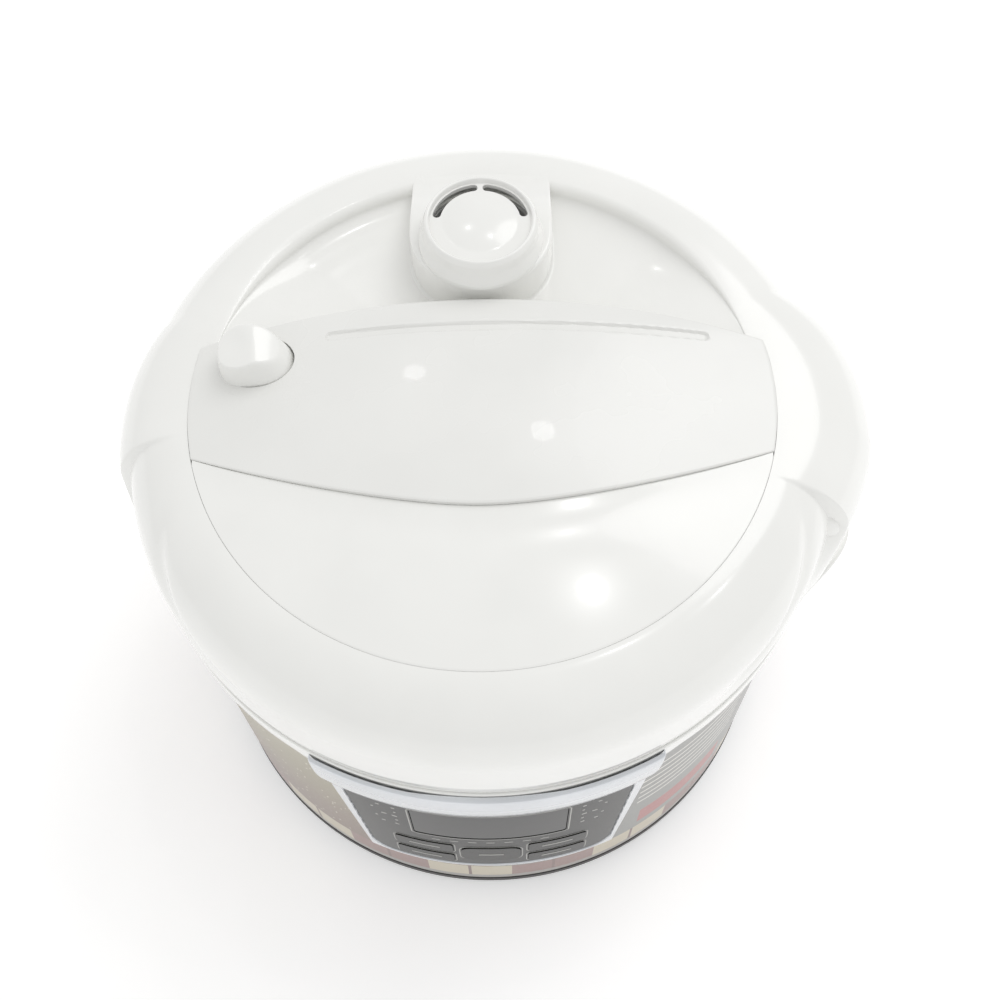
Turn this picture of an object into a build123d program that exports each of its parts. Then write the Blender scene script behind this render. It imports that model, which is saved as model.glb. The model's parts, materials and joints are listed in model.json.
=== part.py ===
"""Electric pressure cooker of the twist-lock kind, 6 litre class, as an assembly of separate pieces.

Millimetres. The origin is on the pot's axis, on the worktop; +Z is up, the control panel faces -Y.
A bearing is an angle in plan from the front (-Y), positive towards +X.
"""

import os
from math import asin, atan2, cos, degrees, radians, sin, sqrt

from build123d import *

# Driving dimensions
RIM_R = 155.0  # lid skirt, outside
LID_WALL = 3.0
SKIRT_Z = 198.0  # lower edge of the lid
LIP_Z = 206.5  # fine step round the skirt
SHOULDER_Z = 230.0  # where the lid starts to round over
SHOULDER_R = 30.5
PANEL_R = 124.5  # parting circle of the lid's top panels
RECESS_R = 118.0  # outer wall of the recess behind the bridge
DECK_Z = 249.0  # top of the deck under the panels
EAR_R = {"left": 160.0, "right": 170.5}
EAR_BEARINGS = {"left": (-109.5, -77.5), "right": (67.0, 113.0)}
SHELL_R = 151.0
SHELL_T = 0.6
SHELL_Z = (15.5, 183.0)
FILM_T = 0.25
RING_R = 154.8  # collar between body and lid, outside
BODY_TOP_Z = 196.5
POT_R = 112.0  # inner pot, inside
POT_T = 1.6
POT_Z = (52.2, 193.9)
LINER_R = 119.0  # outer pot, outside
LINER_T = 1.2
FLANGE_Z = (190.0, 192.5)
TOOTH_COUNT = 6
TOOTH_ARC = 26.0
FLANGE_TOOTH_R = 127.0
LID_TOOTH_R = 122.5
LID_SKIRT_R = 130.0  # pressure lid, outside
LID_TOOTH_Z = (184.0, 187.0)
PLATE_Z = (218.0, 220.0)  # flat of the pressure lid
HEATER_Z = (38.0, 52.0)
PANEL_FACE_R = 154.0  # control housing's face
HEADER_R = 158.4  # its rounded header, outside
PANEL_Z = (60.0, 195.0)
PANEL_X = (62.3, 75.0)  # half width at the bottom and at the top
OVERLAY_Z = (64.0, 161.0)
OVERLAY_X = (58.6, 65.0)
OVERLAY_CORNER = 10.0
OVERLAY_T = 1.4
WINDOW_Z = (117.0, 157.0)
WINDOW_BEARING = 13.3
KEY_TRAVEL = 1.0
KEY_GAP = 0.25
KEYS = {  # bearing, half width in degrees, low z, high z
    "key_upper_left": (-12.0, 5.2, 89.0, 103.0),
    "key_lower_left": (-12.0, 5.2, 69.0, 83.0),
    "key_upper_right": (12.0, 5.2, 89.0, 103.0),
    "key_lower_right": (12.0, 5.2, 69.0, 83.0),
    "key_start": (0.0, 5.3, 75.0, 99.0),
}
BRIDGE_DOME = (271.0, 780.0)  # crown height and radius
FRONT_DOME = (268.5, 973.0)
PANEL_T = 2.5
BUTTON_XY = (-96.0, 15.0)
BUTTON_RADII = (16.0, 12.5)
VENT_XY = (-8.0, 74.0)
FLOAT_XY = (13.0, 80.0)
CAP_XY = (0.0, 74.0)
PEDESTAL_XY = (0.0, 78.0)
PEDESTAL_Z = 271.0
PEDESTAL_R = 32.8
WELL_R = 25.5
LEVER_ARM = 45.0  # button to pivot
LEVER_TOP_Z = 238.5
LEVER_T = 4.2
INLET_Z = 45.0
CUP_BEARING = 10.0
CUP_R = (153.6, 168.0)
CUP_Z = (116.0, 167.5)
STUDS = ((85.0, -10.0), (-85.0, -10.0), (45.0, -74.0), (-45.0, -74.0))

os.makedirs("parts", exist_ok=True)


def save(piece, name):
    """Labels a finished piece and writes it as one STEP file."""
    piece.label = name
    export_step(piece, f"parts/{name}.step")


def bearing_plane(bearing):
    """The upright plane through the axis at a bearing, with x outwards and y up."""
    a = radians(bearing)
    return Plane(origin=(0, 0, 0), x_dir=(sin(a), -cos(a), 0), z_dir=(-cos(a), -sin(a), 0))


def place(radius, bearing, z=0.0):
    """A point at a radius and bearing."""
    a = radians(bearing)
    return (radius * sin(a), -radius * cos(a), z)


def turned(outline, arc=360.0, bearing=-90.0):
    """A solid turned about the axis from straight-sided (r, z) points, through an arc from a bearing."""
    with BuildPart() as solid:
        with BuildSketch(bearing_plane(bearing)):
            with BuildLine():
                Polyline(*outline, close=True)
            make_face()
        revolve(axis=Axis.Z, revolution_arc=arc)
    return solid.part


def ring(r0, r1, z0, z1):
    """A plain ring."""
    return turned([(r0, z0), (r1, z0), (r1, z1), (r0, z1)])


def segment(r0, r1, z0, z1, b0, b1):
    """Part of a ring between two bearings."""
    return turned([(r0, z0), (r1, z0), (r1, z1), (r0, z1)], arc=b1 - b0, bearing=b0)


def rod(x, y, z0, z1, r):
    """An upright cylinder."""
    with BuildPart(Plane.XY.offset(z0)) as solid:
        with Locations((x, y)):
            Cylinder(r, z1 - z0, align=(Align.CENTER, Align.CENTER, Align.MIN))
    return solid.part


def block(x0, x1, y0, y1, z0, z1):
    """A box between corners."""
    with BuildPart() as solid:
        with Locations(((x0 + x1) / 2, (y0 + y1) / 2, (z0 + z1) / 2)):
            Box(x1 - x0, y1 - y0, z1 - z0)
    return solid.part


def coil(x, y, z0, z1, radius, wire, turns):
    """A compression spring standing between two heights."""
    rise = z1 - z0 - 2 * wire
    with BuildPart() as solid:
        with BuildLine(Plane((x, y, z0 + wire))):
            path = Helix(pitch=rise / turns, height=rise, radius=radius)
        with BuildSketch(Plane(origin=path @ 0, z_dir=path % 0)):
            Circle(wire)
        sweep(path=path, is_frenet=True)
    return solid.part


def dome(crown, radius, drop=0.0):
    """The ball whose top is a panel's surface, lowered inside by a wall."""
    with BuildPart() as solid:
        with Locations((0, 0, crown - radius)):
            Sphere(radius - drop)
    return solid.part


# Base


def foot_ring():
    with BuildPart() as foot:
        add(ring(118, 128, 0, 3.5))
        fillet(foot.edges().group_by(Axis.Z)[0], 1.0)
    return foot.part


def base_housing():
    outline = [(60, 3.5), (144.5, 3.5), (151.6, 9), (151.6, 15.5), (150.2, 15.5), (150.2, 28),
               (147.7, 28), (147.7, 13), (142.6, 6.5), (60, 6.5)]
    with BuildPart() as housing:
        add(turned(outline))
        with PolarLocations(63, 4, start_angle=45):
            Hole(1.6)
        with PolarLocations(134, 4, start_angle=45):
            with Locations((0, 0, 6)):
                Cylinder(4, 8, align=(Align.CENTER, Align.CENTER, Align.MIN))
    return housing.part


def bottom_cover():
    outline = [(0, 3.5), (59.7, 3.5), (59.7, 6.5), (68, 6.5), (68, 8.5), (57.5, 8.5), (57.5, 5.5), (0, 5.5)]
    with BuildPart() as cover:
        add(turned(outline))
        with PolarLocations(63, 4, start_angle=45):
            with Locations((0, 0, 8.5)):
                Cylinder(3.0, 4, align=(Align.CENTER, Align.CENTER, Align.MIN))
        with PolarLocations(63, 4, start_angle=45):
            Cylinder(1.6, 30, mode=Mode.SUBTRACT)
        with BuildSketch(Plane.XY.offset(3)):
            for row_r, count in ((20, 6), (40, 12)):
                with PolarLocations(row_r, count):
                    SlotOverall(14, 3)
        extrude(amount=4, mode=Mode.SUBTRACT)
    return cover.part


def base_screws():
    with BuildPart() as screws:
        with PolarLocations(63, 4, start_angle=45):
            with Locations((0, 0, 1.6)):
                Cylinder(3, 1.9, align=(Align.CENTER, Align.CENTER, Align.MIN))
            with Locations((0, 0, 3.5)):
                Cylinder(1.5, 8.5, align=(Align.CENTER, Align.CENTER, Align.MIN))
    return screws.part


def rear_openings():
    """What is cut through the shell and film at the back: the inlet and the drain spout."""
    with BuildPart() as cut:
        add(block(-14.3, 14.3, 130, 157, INLET_Z - 10.3, INLET_Z + 10.3))
        with BuildSketch(Plane.XZ.offset(-130)):
            with Locations((0, 172)):
                Circle(4.3)
        extrude(amount=-25)
    return cut.part


def tapered_prism(halves, heights, grow=0.0):
    """A block in front of the axis, its width running from one half width to the other."""
    (half_low, half_high), (low, high) = halves, heights
    with BuildPart() as prism:
        with BuildSketch(Plane.XZ):
            with BuildLine():
                Polyline(
                    (-half_low - grow, low - grow), (half_low + grow, low - grow),
                    (half_high + grow, high + grow), (-half_high - grow, high + grow), close=True)
            make_face()
        extrude(amount=RIM_R + 10)
    return prism.part


def overlay_prism(grow=0.0):
    """The overlay's outline, with its two lower corners rounded."""
    with BuildPart() as prism:
        add(tapered_prism(OVERLAY_X, OVERLAY_Z, grow))
        fillet(prism.edges().filter_by(Axis.Y).group_by(Axis.Z)[0], OVERLAY_CORNER)
    return prism.part


def outer_shell():
    with BuildPart() as shell:
        add(ring(SHELL_R - SHELL_T, SHELL_R, *SHELL_Z))
        add(segment(140, 155, 64, 166, -22, 22), mode=Mode.SUBTRACT)
        add(rear_openings(), mode=Mode.SUBTRACT)
    return shell.part


def printed_film():
    with BuildPart() as film:
        add(ring(SHELL_R, SHELL_R + FILM_T, 17, 181))
        add(tapered_prism(PANEL_X, PANEL_Z, grow=1.0), mode=Mode.SUBTRACT)
        add(rear_openings(), mode=Mode.SUBTRACT)
        add(segment(150, 153, 112, 175, 180 - 13, 180 + 13), mode=Mode.SUBTRACT)
    return film.part


def trim_ring():
    with BuildPart() as trim:
        add(ring(148.5, 152.4, 183, 186.4))
        fillet(trim.edges().filter_by(GeomType.CIRCLE).sort_by(SortBy.RADIUS)[-2:], 0.8)
    return trim.part


def handle_outline(side):
    """Section (r, z) of the handle under one ear of the lid."""
    reach = EAR_R[side] - 2
    return [(152, 196.5), (reach - 1, 196.5), (reach, 195), (reach - 2, 184), (152, 180)]


def upper_ring():
    outline = [(119.4, 188), (121, 188), (121, 180.5), (133, 180.5), (133, BODY_TOP_Z), (RING_R, BODY_TOP_Z),
               (RING_R, 186.5), (151.6, 186.5), (151.6, 193.5), (136, 193.5), (136, 177.5), (119.4, 177.5)]
    with BuildPart() as top:
        add(turned(outline))
        for side in ("left", "right"):
            low, high = EAR_BEARINGS[side]
            inset = 3.0
            inner = [(r - 2.5 if r > 153 else r - 1, z - 3 if z > 190 else z - 1) for r, z in handle_outline(side)]
            add(turned(handle_outline(side), high - low - 2 * inset, low + inset))
            add(turned(inner, high - low - 2 * inset - 3, low + inset + 1.5), mode=Mode.SUBTRACT)
            add(segment(150, 152.6, 178, 186.45, low, high), mode=Mode.SUBTRACT)
        add(rod(0, 127, 170, 182, 2.5), mode=Mode.SUBTRACT)
    return top.part


def tooth_ring(r0, r1, z0, z1):
    """A ring of bayonet teeth."""
    pitch = 360 / TOOTH_COUNT
    with BuildPart() as teeth:
        for i in range(TOOTH_COUNT):
            middle = pitch * i
            add(segment(r0, r1, z0, z1, middle - TOOTH_ARC / 2, middle + TOOTH_ARC / 2))
    return teeth.part


def outer_pot():
    inner = LINER_R - LINER_T
    outline = [(99, 42), (inner, 42), (inner, FLANGE_Z[1]), (121.5, FLANGE_Z[1]), (121.5, FLANGE_Z[0]),
               (LINER_R, FLANGE_Z[0]), (LINER_R, 40.8), (99, 40.8)]
    with BuildPart() as pot:
        add(turned(outline))
        add(tooth_ring(121, FLANGE_TOOTH_R, *FLANGE_Z))
    return pot.part


def heating_plate():
    low, high = HEATER_Z
    with BuildPart() as plate:
        add(turned([(17, low), (88, low), (92, low + 4), (92, high - 1.5), (90.5, high), (17, high)]))
        with PolarLocations(46, 3):
            with Locations((0, 0, 27.5)):
                Cylinder(4, low - 27.5, align=(Align.CENTER, Align.CENTER, Align.MIN))
    return plate.part


def heating_element():
    tube, run = 3.6, 70.0
    with BuildPart() as element:
        with BuildSketch(bearing_plane(-168)):
            with Locations((run, HEATER_Z[0] - tube)):
                Circle(tube)
        revolve(axis=Axis.Z, revolution_arc=336)
        for bearing in (-168, 168):
            x, y, _ = place(run, bearing)
            with Locations((x, y, 28.6)):
                Cylinder(2.0, HEATER_Z[0] - tube - 28.6, align=(Align.CENTER, Align.CENTER, Align.MIN))
    return element.part


def heater_support():
    with BuildPart() as support:
        add(ring(7.5, 116, 26, 27.5))
        with PolarLocations(108, 4, start_angle=45):
            with Locations((0, 0, 27.5)):
                Cylinder(3.5, 40.8 - 27.5, align=(Align.CENTER, Align.CENTER, Align.MIN))
        with BuildSketch(Plane.XY.offset(25)):
            with PolarLocations(80, 8, start_angle=22.5):
                SlotOverall(22, 8)
        extrude(amount=4, mode=Mode.SUBTRACT)
    return support.part


def pressure_switch():
    with BuildPart() as switch:
        add(block(24, 46, -9, 9, 12, 23))
        add(rod(35, 0, 23, 25.8, 3))
    return switch.part


def thermal_cutout():
    with BuildPart() as cutout:
        with BuildSketch(Plane.YZ.offset(LINER_R + 0.05)):
            with Locations((0, 75)):
                Circle(8)
        extrude(amount=6)
        with BuildSketch(Plane.YZ.offset(LINER_R + 6)):
            with Locations((-4, 75), (4, 75)):
                Rectangle(1, 6)
        extrude(amount=8)
    return cutout.part


def power_board():
    return block(-42, 42, -116, -72, 12, 13.6)


def power_parts():
    """Relay, capacitor and terminal block on the power board."""
    with BuildPart() as parts:
        add(block(-36, -17, -108, -92, 13.6, 24.5))
        add(block(18, 38, -112, -100, 13.6, 24.0))
        for x in (-6, 8):
            add(rod(x, -98, 13.6, 24.5, 5))
    return parts.part


def sensor_cap():
    outline = [(0, 52.1), (12.5, 52.1), (13, 51.4), (13, 44), (4.5, 44), (4.5, 20), (0, 20)]
    return turned(outline)


def sensor_spring():
    return coil(0, 0, 27.5, 44, 9.5, 0.7, 4)


# Control panel


def control_housing():
    low, high = PANEL_Z
    header = high - OVERLAY_Z[1] - 2
    with BuildPart() as housing:
        with BuildSketch(bearing_plane(-32)):
            with BuildLine():
                Polyline((PANEL_FACE_R, high - header), (PANEL_FACE_R, low + 2), (PANEL_FACE_R - 2, low),
                         (SHELL_R + 0.3, low), (SHELL_R + 0.3, 182.5), (RING_R + 0.3, 182.5),
                         (RING_R + 0.3, high), (PANEL_FACE_R + 2.3, high))
                ThreePointArc((PANEL_FACE_R + 2.3, high), (HEADER_R, high - header * 0.45),
                              (PANEL_FACE_R, high - header))
            make_face()
        revolve(axis=Axis.Z, revolution_arc=64)
        add(tapered_prism(PANEL_X, PANEL_Z), mode=Mode.INTERSECT)
        add(overlay_region(), mode=Mode.SUBTRACT)
        add(segment(140, 155, WINDOW_Z[0] + 2, WINDOW_Z[1] - 2, -WINDOW_BEARING + 0.8, WINDOW_BEARING - 0.8),
            mode=Mode.SUBTRACT)
        for bearing, half, z0, z1 in KEYS.values():
            add(key_slot(bearing, half, z0, z1, KEY_GAP), mode=Mode.SUBTRACT)
    return housing.part


def key_slot(bearing, half, z0, z1, grow):
    """The space of one key with room around it."""
    spread = degrees(grow / SHELL_R)
    return segment(140, 160, z0 - grow, z1 + grow, bearing - half - spread, bearing + half + spread)


def overlay_region(grow=0.0, face=160.0):
    """The overlay's seat: its outline cut from a ring that ends at a radius."""
    with BuildPart() as region:
        add(segment(PANEL_FACE_R + 0.2 - OVERLAY_T, face, 50, 180, -30, 30))
        add(overlay_prism(grow), mode=Mode.INTERSECT)
    return region.part


def panel_overlay():
    with BuildPart() as overlay:
        add(overlay_region(grow=-0.15, face=PANEL_FACE_R + 0.2))
        add(segment(140, 160, *WINDOW_Z, -WINDOW_BEARING, WINDOW_BEARING), mode=Mode.SUBTRACT)
        for bearing, half, z0, z1 in KEYS.values():
            add(key_slot(bearing, half, z0, z1, KEY_GAP), mode=Mode.SUBTRACT)
    return overlay.part


def display_window():
    face = PANEL_FACE_R + 0.2
    edge = WINDOW_BEARING - 0.06
    return segment(face - OVERLAY_T, face - 0.1, WINDOW_Z[0] + 0.15, WINDOW_Z[1] - 0.15, -edge, edge)


def panel_key(name):
    """A key that stands 0.6 mm proud of the overlay and slides in towards its switch."""
    bearing, half, z0, z1 = KEYS[name]
    face = PANEL_FACE_R + 0.8
    with BuildPart() as key:
        add(segment(150.0, face, z0, z1, bearing - half, bearing + half))
        corner = 6.0 if name == "key_start" else 2.0
        radial = key.edges().filter_by(GeomType.LINE).filter_by(Axis.Z, reverse=True)
        fillet(radial.filter_by(lambda e: abs(e.tangent_at(0).Z) < 0.01), corner)
    return key.part


def control_board():
    return block(-54, 54, -131.6, -130, 64, 160)


def display_module():
    return block(-30, 30, -139.6, -131.6, 121, 153)


def key_switches():
    with BuildPart() as switches:
        for bearing, _, z0, z1 in KEYS.values():
            x, y, _ = place(149.3, bearing)
            middle = (z0 + z1) / 2
            add(block(x - 3, x + 3, -135.6, -131.6, middle - 3, middle + 3))
            with BuildSketch(Plane.XZ.offset(135.6)):
                with Locations((x, middle)):
                    Circle(1.75)
            extrude(amount=-y - 135.6 - 0.9)
    return switches.part


# Rear: inlet, drain and drip cup


def inlet_socket():
    with BuildPart() as socket:
        add(block(-14, 14, 132.4, 152, INLET_Z - 10, INLET_Z + 10))
        add(block(-16.5, 16.5, 151.3, 153.3, INLET_Z - 12.5, INLET_Z + 12.5))
        add(block(-12.2, 12.2, 135, 154, INLET_Z - 8, INLET_Z + 8), mode=Mode.SUBTRACT)
        vertical = socket.edges().filter_by(Axis.Y).group_by(SortBy.LENGTH)[0]
        fillet(vertical, 1.5)
    return socket.part


def inlet_pins():
    with BuildPart() as pins:
        for x, z in ((-7, 2), (7, 2), (0, -2)):
            add(block(x - 1, x + 1, 126, 146, INLET_Z + z - 2, INLET_Z + z + 2))
    return pins.part


def socket_with_pin_holes():
    with BuildPart() as socket:
        add(inlet_socket())
        add(inlet_pins(), mode=Mode.SUBTRACT)
    return socket.part


def drain_spout():
    with BuildPart() as spout:
        add(rod(0, 127, 168, 177.5, 4))
        with BuildSketch(Plane.XZ.offset(-127)):
            with Locations((0, 172)):
                Circle(4)
        extrude(amount=-33)
        with BuildSketch(Plane.XZ.offset(-127)):
            with Locations((0, 172)):
                Circle(2.5)
        extrude(amount=-34, mode=Mode.SUBTRACT)
        add(rod(0, 127, 170, 178, 2.5), mode=Mode.SUBTRACT)
    return spout.part


def cup_bracket():
    low, high = CUP_Z
    with BuildPart() as bracket:
        add(segment(SHELL_R + 0.02, 153.3, low - 3, high - 2, 180 - 12, 180 + 12))
        for side in (-1, 1):
            near, far = sorted((180 + side * 10.4, 180 + side * 12))
            add(segment(153, 160, low - 3, high - 12, near, far))
        add(segment(153, 161, low - 3, low - 0.6, 180 - 12, 180 + 12))
    return bracket.part


def drip_cup():
    low, high = CUP_Z
    inner, outer = CUP_R
    wall = 1.6
    spread = degrees(wall / inner)
    with BuildPart() as cup:
        add(segment(inner, outer, low, high, 180 - CUP_BEARING, 180 + CUP_BEARING))
        add(segment(inner + wall, outer - wall, low + wall, high + 5, 180 - CUP_BEARING + spread,
                    180 + CUP_BEARING - spread), mode=Mode.SUBTRACT)
    return cup.part


# Pots


def inner_pot():
    low, high = POT_Z
    bend = 16.0
    with BuildPart() as pot:
        with BuildSketch(bearing_plane(-90)):
            with BuildLine():
                outside = POT_R + POT_T
                Line((0, low), (outside - bend, low))
                RadiusArc((outside - bend, low), (outside, low + bend), -bend)
                Polyline((outside, low + bend), (outside, high - 1.2), (120.4, high - 1.2),
                         (120.4, high), (POT_R, high), (POT_R, low + bend))
                RadiusArc((POT_R, low + bend), (outside - bend, low + 2.2), bend - POT_T)
                Polyline((outside - bend, low + 2.2), (0, low + 2.2), (0, low))
            make_face()
        revolve(axis=Axis.Z)
    return pot.part


def inner_lid_plate():
    with BuildPart() as plate:
        add(turned([(4.1, 199), (112.5, 199), (112.5, 200), (4.1, 200)]))
        with PolarLocations(62, 8, start_angle=22.5):
            Cylinder(5, 600, mode=Mode.SUBTRACT)
        with PolarLocations(90, 12):
            Cylinder(2.5, 600, mode=Mode.SUBTRACT)
    return plate.part


def sealing_ring():
    outline = [(108, 194.1), (121.5, 194.1), (122, 196), (119.5, 199.5), (122, 204), (121, 206.6), (108, 206.6),
               (106.5, 204.8), (113, 203), (113, 200.2), (112.7, 200.2), (112.7, 198.8), (113, 198.8),
               (113, 197), (106.5, 195.6)]
    return turned(outline)


def inner_lid_grommet():
    outline = [(3.05, 194.6), (12, 194.6), (13.5, 196.5), (13.5, 199), (4.0, 199), (4.0, 200), (8.5, 200),
               (7, 205), (3.05, 205)]
    return turned(outline)


# Lid


def ear_outline(side):
    """Key points (r, z) of an ear's section: on the shoulder, at the bulge, at the foot."""
    reach = EAR_R[side]
    return (138.0, 257.0), (reach - 6, 243.0), (reach, 226.0), (reach - 0.5, SKIRT_Z)


def ear_solid(side, shrink, trim):
    """One ear as a solid, its surface lowered by shrink and its ends brought in by trim degrees."""
    low, high = EAR_BEARINGS[side]
    top, bulge, widest, foot = ear_outline(side)
    with BuildPart() as ear:
        with BuildSketch(bearing_plane(low + trim)):
            with BuildLine():
                ThreePointArc((top[0], top[1] - shrink), (bulge[0] - shrink * 0.8, bulge[1] - shrink * 0.7),
                              (widest[0] - shrink, widest[1]))
                Polyline((widest[0] - shrink, widest[1]), (foot[0] - shrink, foot[1]), (138, foot[1]),
                         (top[0], top[1] - shrink))
            make_face()
        revolve(axis=Axis.Z, revolution_arc=high - low - 2 * trim)
    return ear.part


def shell_section(offset):
    """The lid's section lowered by an offset, as a closed region down to the skirt's edge."""
    with BuildPart() as solid:
        with BuildSketch(bearing_plane(-90)):
            with BuildLine():
                side, top = RIM_R - offset, SHOULDER_Z + SHOULDER_R - offset
                Polyline((PANEL_R, top), (0, top), (0, SKIRT_Z), (side, SKIRT_Z), (side, SHOULDER_Z))
                RadiusArc((side, SHOULDER_Z), (PANEL_R, top), -(SHOULDER_R - offset))
            make_face()
        revolve(axis=Axis.Z)
    return solid.part


def recess_region(z0, z1):
    """The crescent behind the bridge, as an upright block."""
    with BuildPart() as region:
        with BuildSketch(Plane.XY.offset(z0)):
            Circle(RECESS_R)
            with BuildLine():
                back = bridge_back_edge()
                Polyline(back @ 1, (200, 25), (200, -200), (-200, -200), (-200, 25), back @ 0)
            make_face(mode=Mode.SUBTRACT)
        extrude(amount=z1 - z0)
    return region.part


def bridge_back_edge():
    """The bridge's rear edge, an arc in plan."""
    return ThreePointArc((-121.6, 26.0), (0, 44.0), (121.6, 26.0))


def lid_cover():
    with BuildPart() as cover:
        add(shell_section(0))
        add(turned([(RIM_R - 1, SKIRT_Z), (RIM_R - 0.4, LIP_Z), (RIM_R + 1, LIP_Z + 1.4), (RIM_R + 1, SKIRT_Z)]),
            mode=Mode.SUBTRACT)
        for side in ("left", "right"):
            add(ear_solid(side, 0, 0))
        add(shell_section(LID_WALL), mode=Mode.SUBTRACT)
        for side in ("left", "right"):
            add(ear_solid(side, LID_WALL, 1.5), mode=Mode.SUBTRACT)
        # Seat for the two top panels, and the deck with its wall below.
        add(rod(0, 0, 257.5, 270, PANEL_R), mode=Mode.SUBTRACT)
        add(ring(RECESS_R - LID_WALL, PANEL_R + 1, 254.5, 257.5))
        add(ring(RECESS_R - LID_WALL, RECESS_R, DECK_Z - LID_WALL, 257.5))
        add(rod(0, 0, DECK_Z - LID_WALL, DECK_Z, RECESS_R))
        # Behind the bridge the rim runs in to the recess.
        add(segment(RECESS_R, PANEL_R, 257.5, 260.5, 90 + 14.5, 270 - 14.5))
        # Pedestal of the steam cap with its well.
        with BuildSketch(Plane.XY.offset(DECK_Z - 0.5)):
            with Locations(PEDESTAL_XY):
                Circle(PEDESTAL_R)
            with Locations((0, (PEDESTAL_XY[1] + 119) / 2)):
                Rectangle(2 * PEDESTAL_R, 119 - PEDESTAL_XY[1])
        extrude(amount=PEDESTAL_Z - DECK_Z + 0.5)
        add(rod(*CAP_XY, DECK_Z, 280, WELL_R), mode=Mode.SUBTRACT)
        add(rod(*VENT_XY, 240, 255, 8.6), mode=Mode.SUBTRACT)
        add(rod(*FLOAT_XY, 240, 255, 4.0), mode=Mode.SUBTRACT)
        # Bracket of the release lever under the deck.
        for offset_side in (-1, 1):
            add(lever_cheek(offset_side))
        add(rod(*BUTTON_XY, 240, 255, 4.5), mode=Mode.SUBTRACT)
        for x, y in STUDS:
            add(rod(x, y, 240, 255, 1.8), mode=Mode.SUBTRACT)
    return cover.part


def lever_frame():
    """Pivot point, direction and arms of the release lever."""
    dx, dy = VENT_XY[0] - BUTTON_XY[0], VENT_XY[1] - BUTTON_XY[1]
    length = sqrt(dx * dx + dy * dy)
    ux, uy = dx / length, dy / length
    pivot = (BUTTON_XY[0] + ux * LEVER_ARM, BUTTON_XY[1] + uy * LEVER_ARM)
    return pivot, (ux, uy), length - LEVER_ARM


def lever_plane(z):
    """A level plane at the pivot with x along the lever, towards the vent."""
    (px, py), (ux, uy), _ = lever_frame()
    return Plane(origin=(px, py, z), x_dir=(ux, uy, 0), z_dir=(0, 0, 1))


def lever_cheek(side):
    """One cheek that carries the lever's pin."""
    with BuildPart() as cheek:
        with BuildSketch(lever_plane(233)):
            with Locations((0, side * 7.5)):
                Rectangle(9, 3)
        extrude(amount=DECK_Z - LID_WALL - 233 + 0.5)
        add(lever_pin(1.5), mode=Mode.SUBTRACT)
    return cheek.part


def lever_pin(radius):
    middle = LEVER_TOP_Z - LEVER_T / 2
    (px, py), (ux, uy), _ = lever_frame()
    with BuildPart() as pin:
        with BuildSketch(Plane(origin=(px + uy * 9, py - ux * 9, middle), z_dir=(-uy, ux, 0))):
            Circle(radius)
        extrude(amount=18)
    return pin.part


def release_lever():
    _, _, far = lever_frame()
    with BuildPart() as lever:
        with BuildSketch(lever_plane(LEVER_TOP_Z - LEVER_T)):
            with Locations(((far - 7 - LEVER_ARM - 6) / 2, 0)):
                Rectangle(far - 7 + LEVER_ARM + 6, 9)
            with Locations((far, 0)):
                Rectangle(18, 19)
        extrude(amount=LEVER_T)
        with BuildSketch(lever_plane(LEVER_TOP_Z - LEVER_T - 1)):
            with Locations((far + 5, 0)):
                SlotOverall(24, 13)
        extrude(amount=LEVER_T + 2, mode=Mode.SUBTRACT)
        add(lever_pin(1.55), mode=Mode.SUBTRACT)
    return lever.part


def bridge_outline(grow):
    """The bridge's face in plan, widened by grow: two arcs of the parting circle, curved back, bowed front."""
    edge_r, back, front = PANEL_R - 0.3 + grow, 26.0 + grow, 30.3 + grow
    back_x, front_x = sqrt(edge_r**2 - back**2), sqrt(edge_r**2 - front**2)
    with BuildSketch() as face:
        with BuildLine():
            ThreePointArc((-back_x, back), (0, 44.0 + grow), (back_x, back))
            ThreePointArc((back_x, back), (edge_r, 0), (front_x, -front))
            Spline((front_x, -front), (62, -46 - grow), (0, -56.3 - grow), (-62, -46 - grow), (-front_x, -front))
            ThreePointArc((-front_x, -front), (-edge_r, 0), (-back_x, back))
        make_face()
    return face.sketch


def prism_of(sketch, z0, z1):
    """An upright block on a plan sketch."""
    with BuildPart() as solid:
        with BuildSketch(Plane.XY.offset(z0)):
            add(sketch)
        extrude(amount=z1 - z0)
    return solid.part


def lid_bridge():
    crown, radius = BRIDGE_DOME
    low = DECK_Z + 0.2
    with BuildPart() as bridge:
        add(prism_of(bridge_outline(0), low, 280))
        add(dome(crown, radius), mode=Mode.INTERSECT)
        with BuildPart(mode=Mode.PRIVATE) as hollow:
            add(prism_of(bridge_outline(-2.2), 240, 290))
            add(dome(crown, radius, PANEL_T), mode=Mode.INTERSECT)
            add(rod(0, 0, 240, 290, RECESS_R - LID_WALL - 2.4), mode=Mode.INTERSECT)
        add(hollow.part, mode=Mode.SUBTRACT)
        add(ring(RECESS_R - LID_WALL - 0.2, 140, 240, 257.7), mode=Mode.SUBTRACT)
        with BuildSketch(Plane.XY.offset(240)):
            with Locations(BUTTON_XY):
                Ellipse(BUTTON_RADII[0] + 0.5, BUTTON_RADII[1] + 0.5)
        extrude(amount=60, mode=Mode.SUBTRACT)
        add(bridge_groove(), mode=Mode.SUBTRACT)
    return bridge.part


def bridge_groove():
    """The long shallow groove along the back of the bridge."""
    crown, radius = BRIDGE_DOME
    with BuildPart() as groove:
        with BuildSketch(Plane.XY.offset(255)):
            with BuildLine():
                ThreePointArc((-67, 25.5), (15, 30.5), (97, 22.5))
            trace(line_width=4.6)
        extrude(amount=30)
        add(dome(crown, radius, 1.2), mode=Mode.SUBTRACT)
    return groove.part


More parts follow.
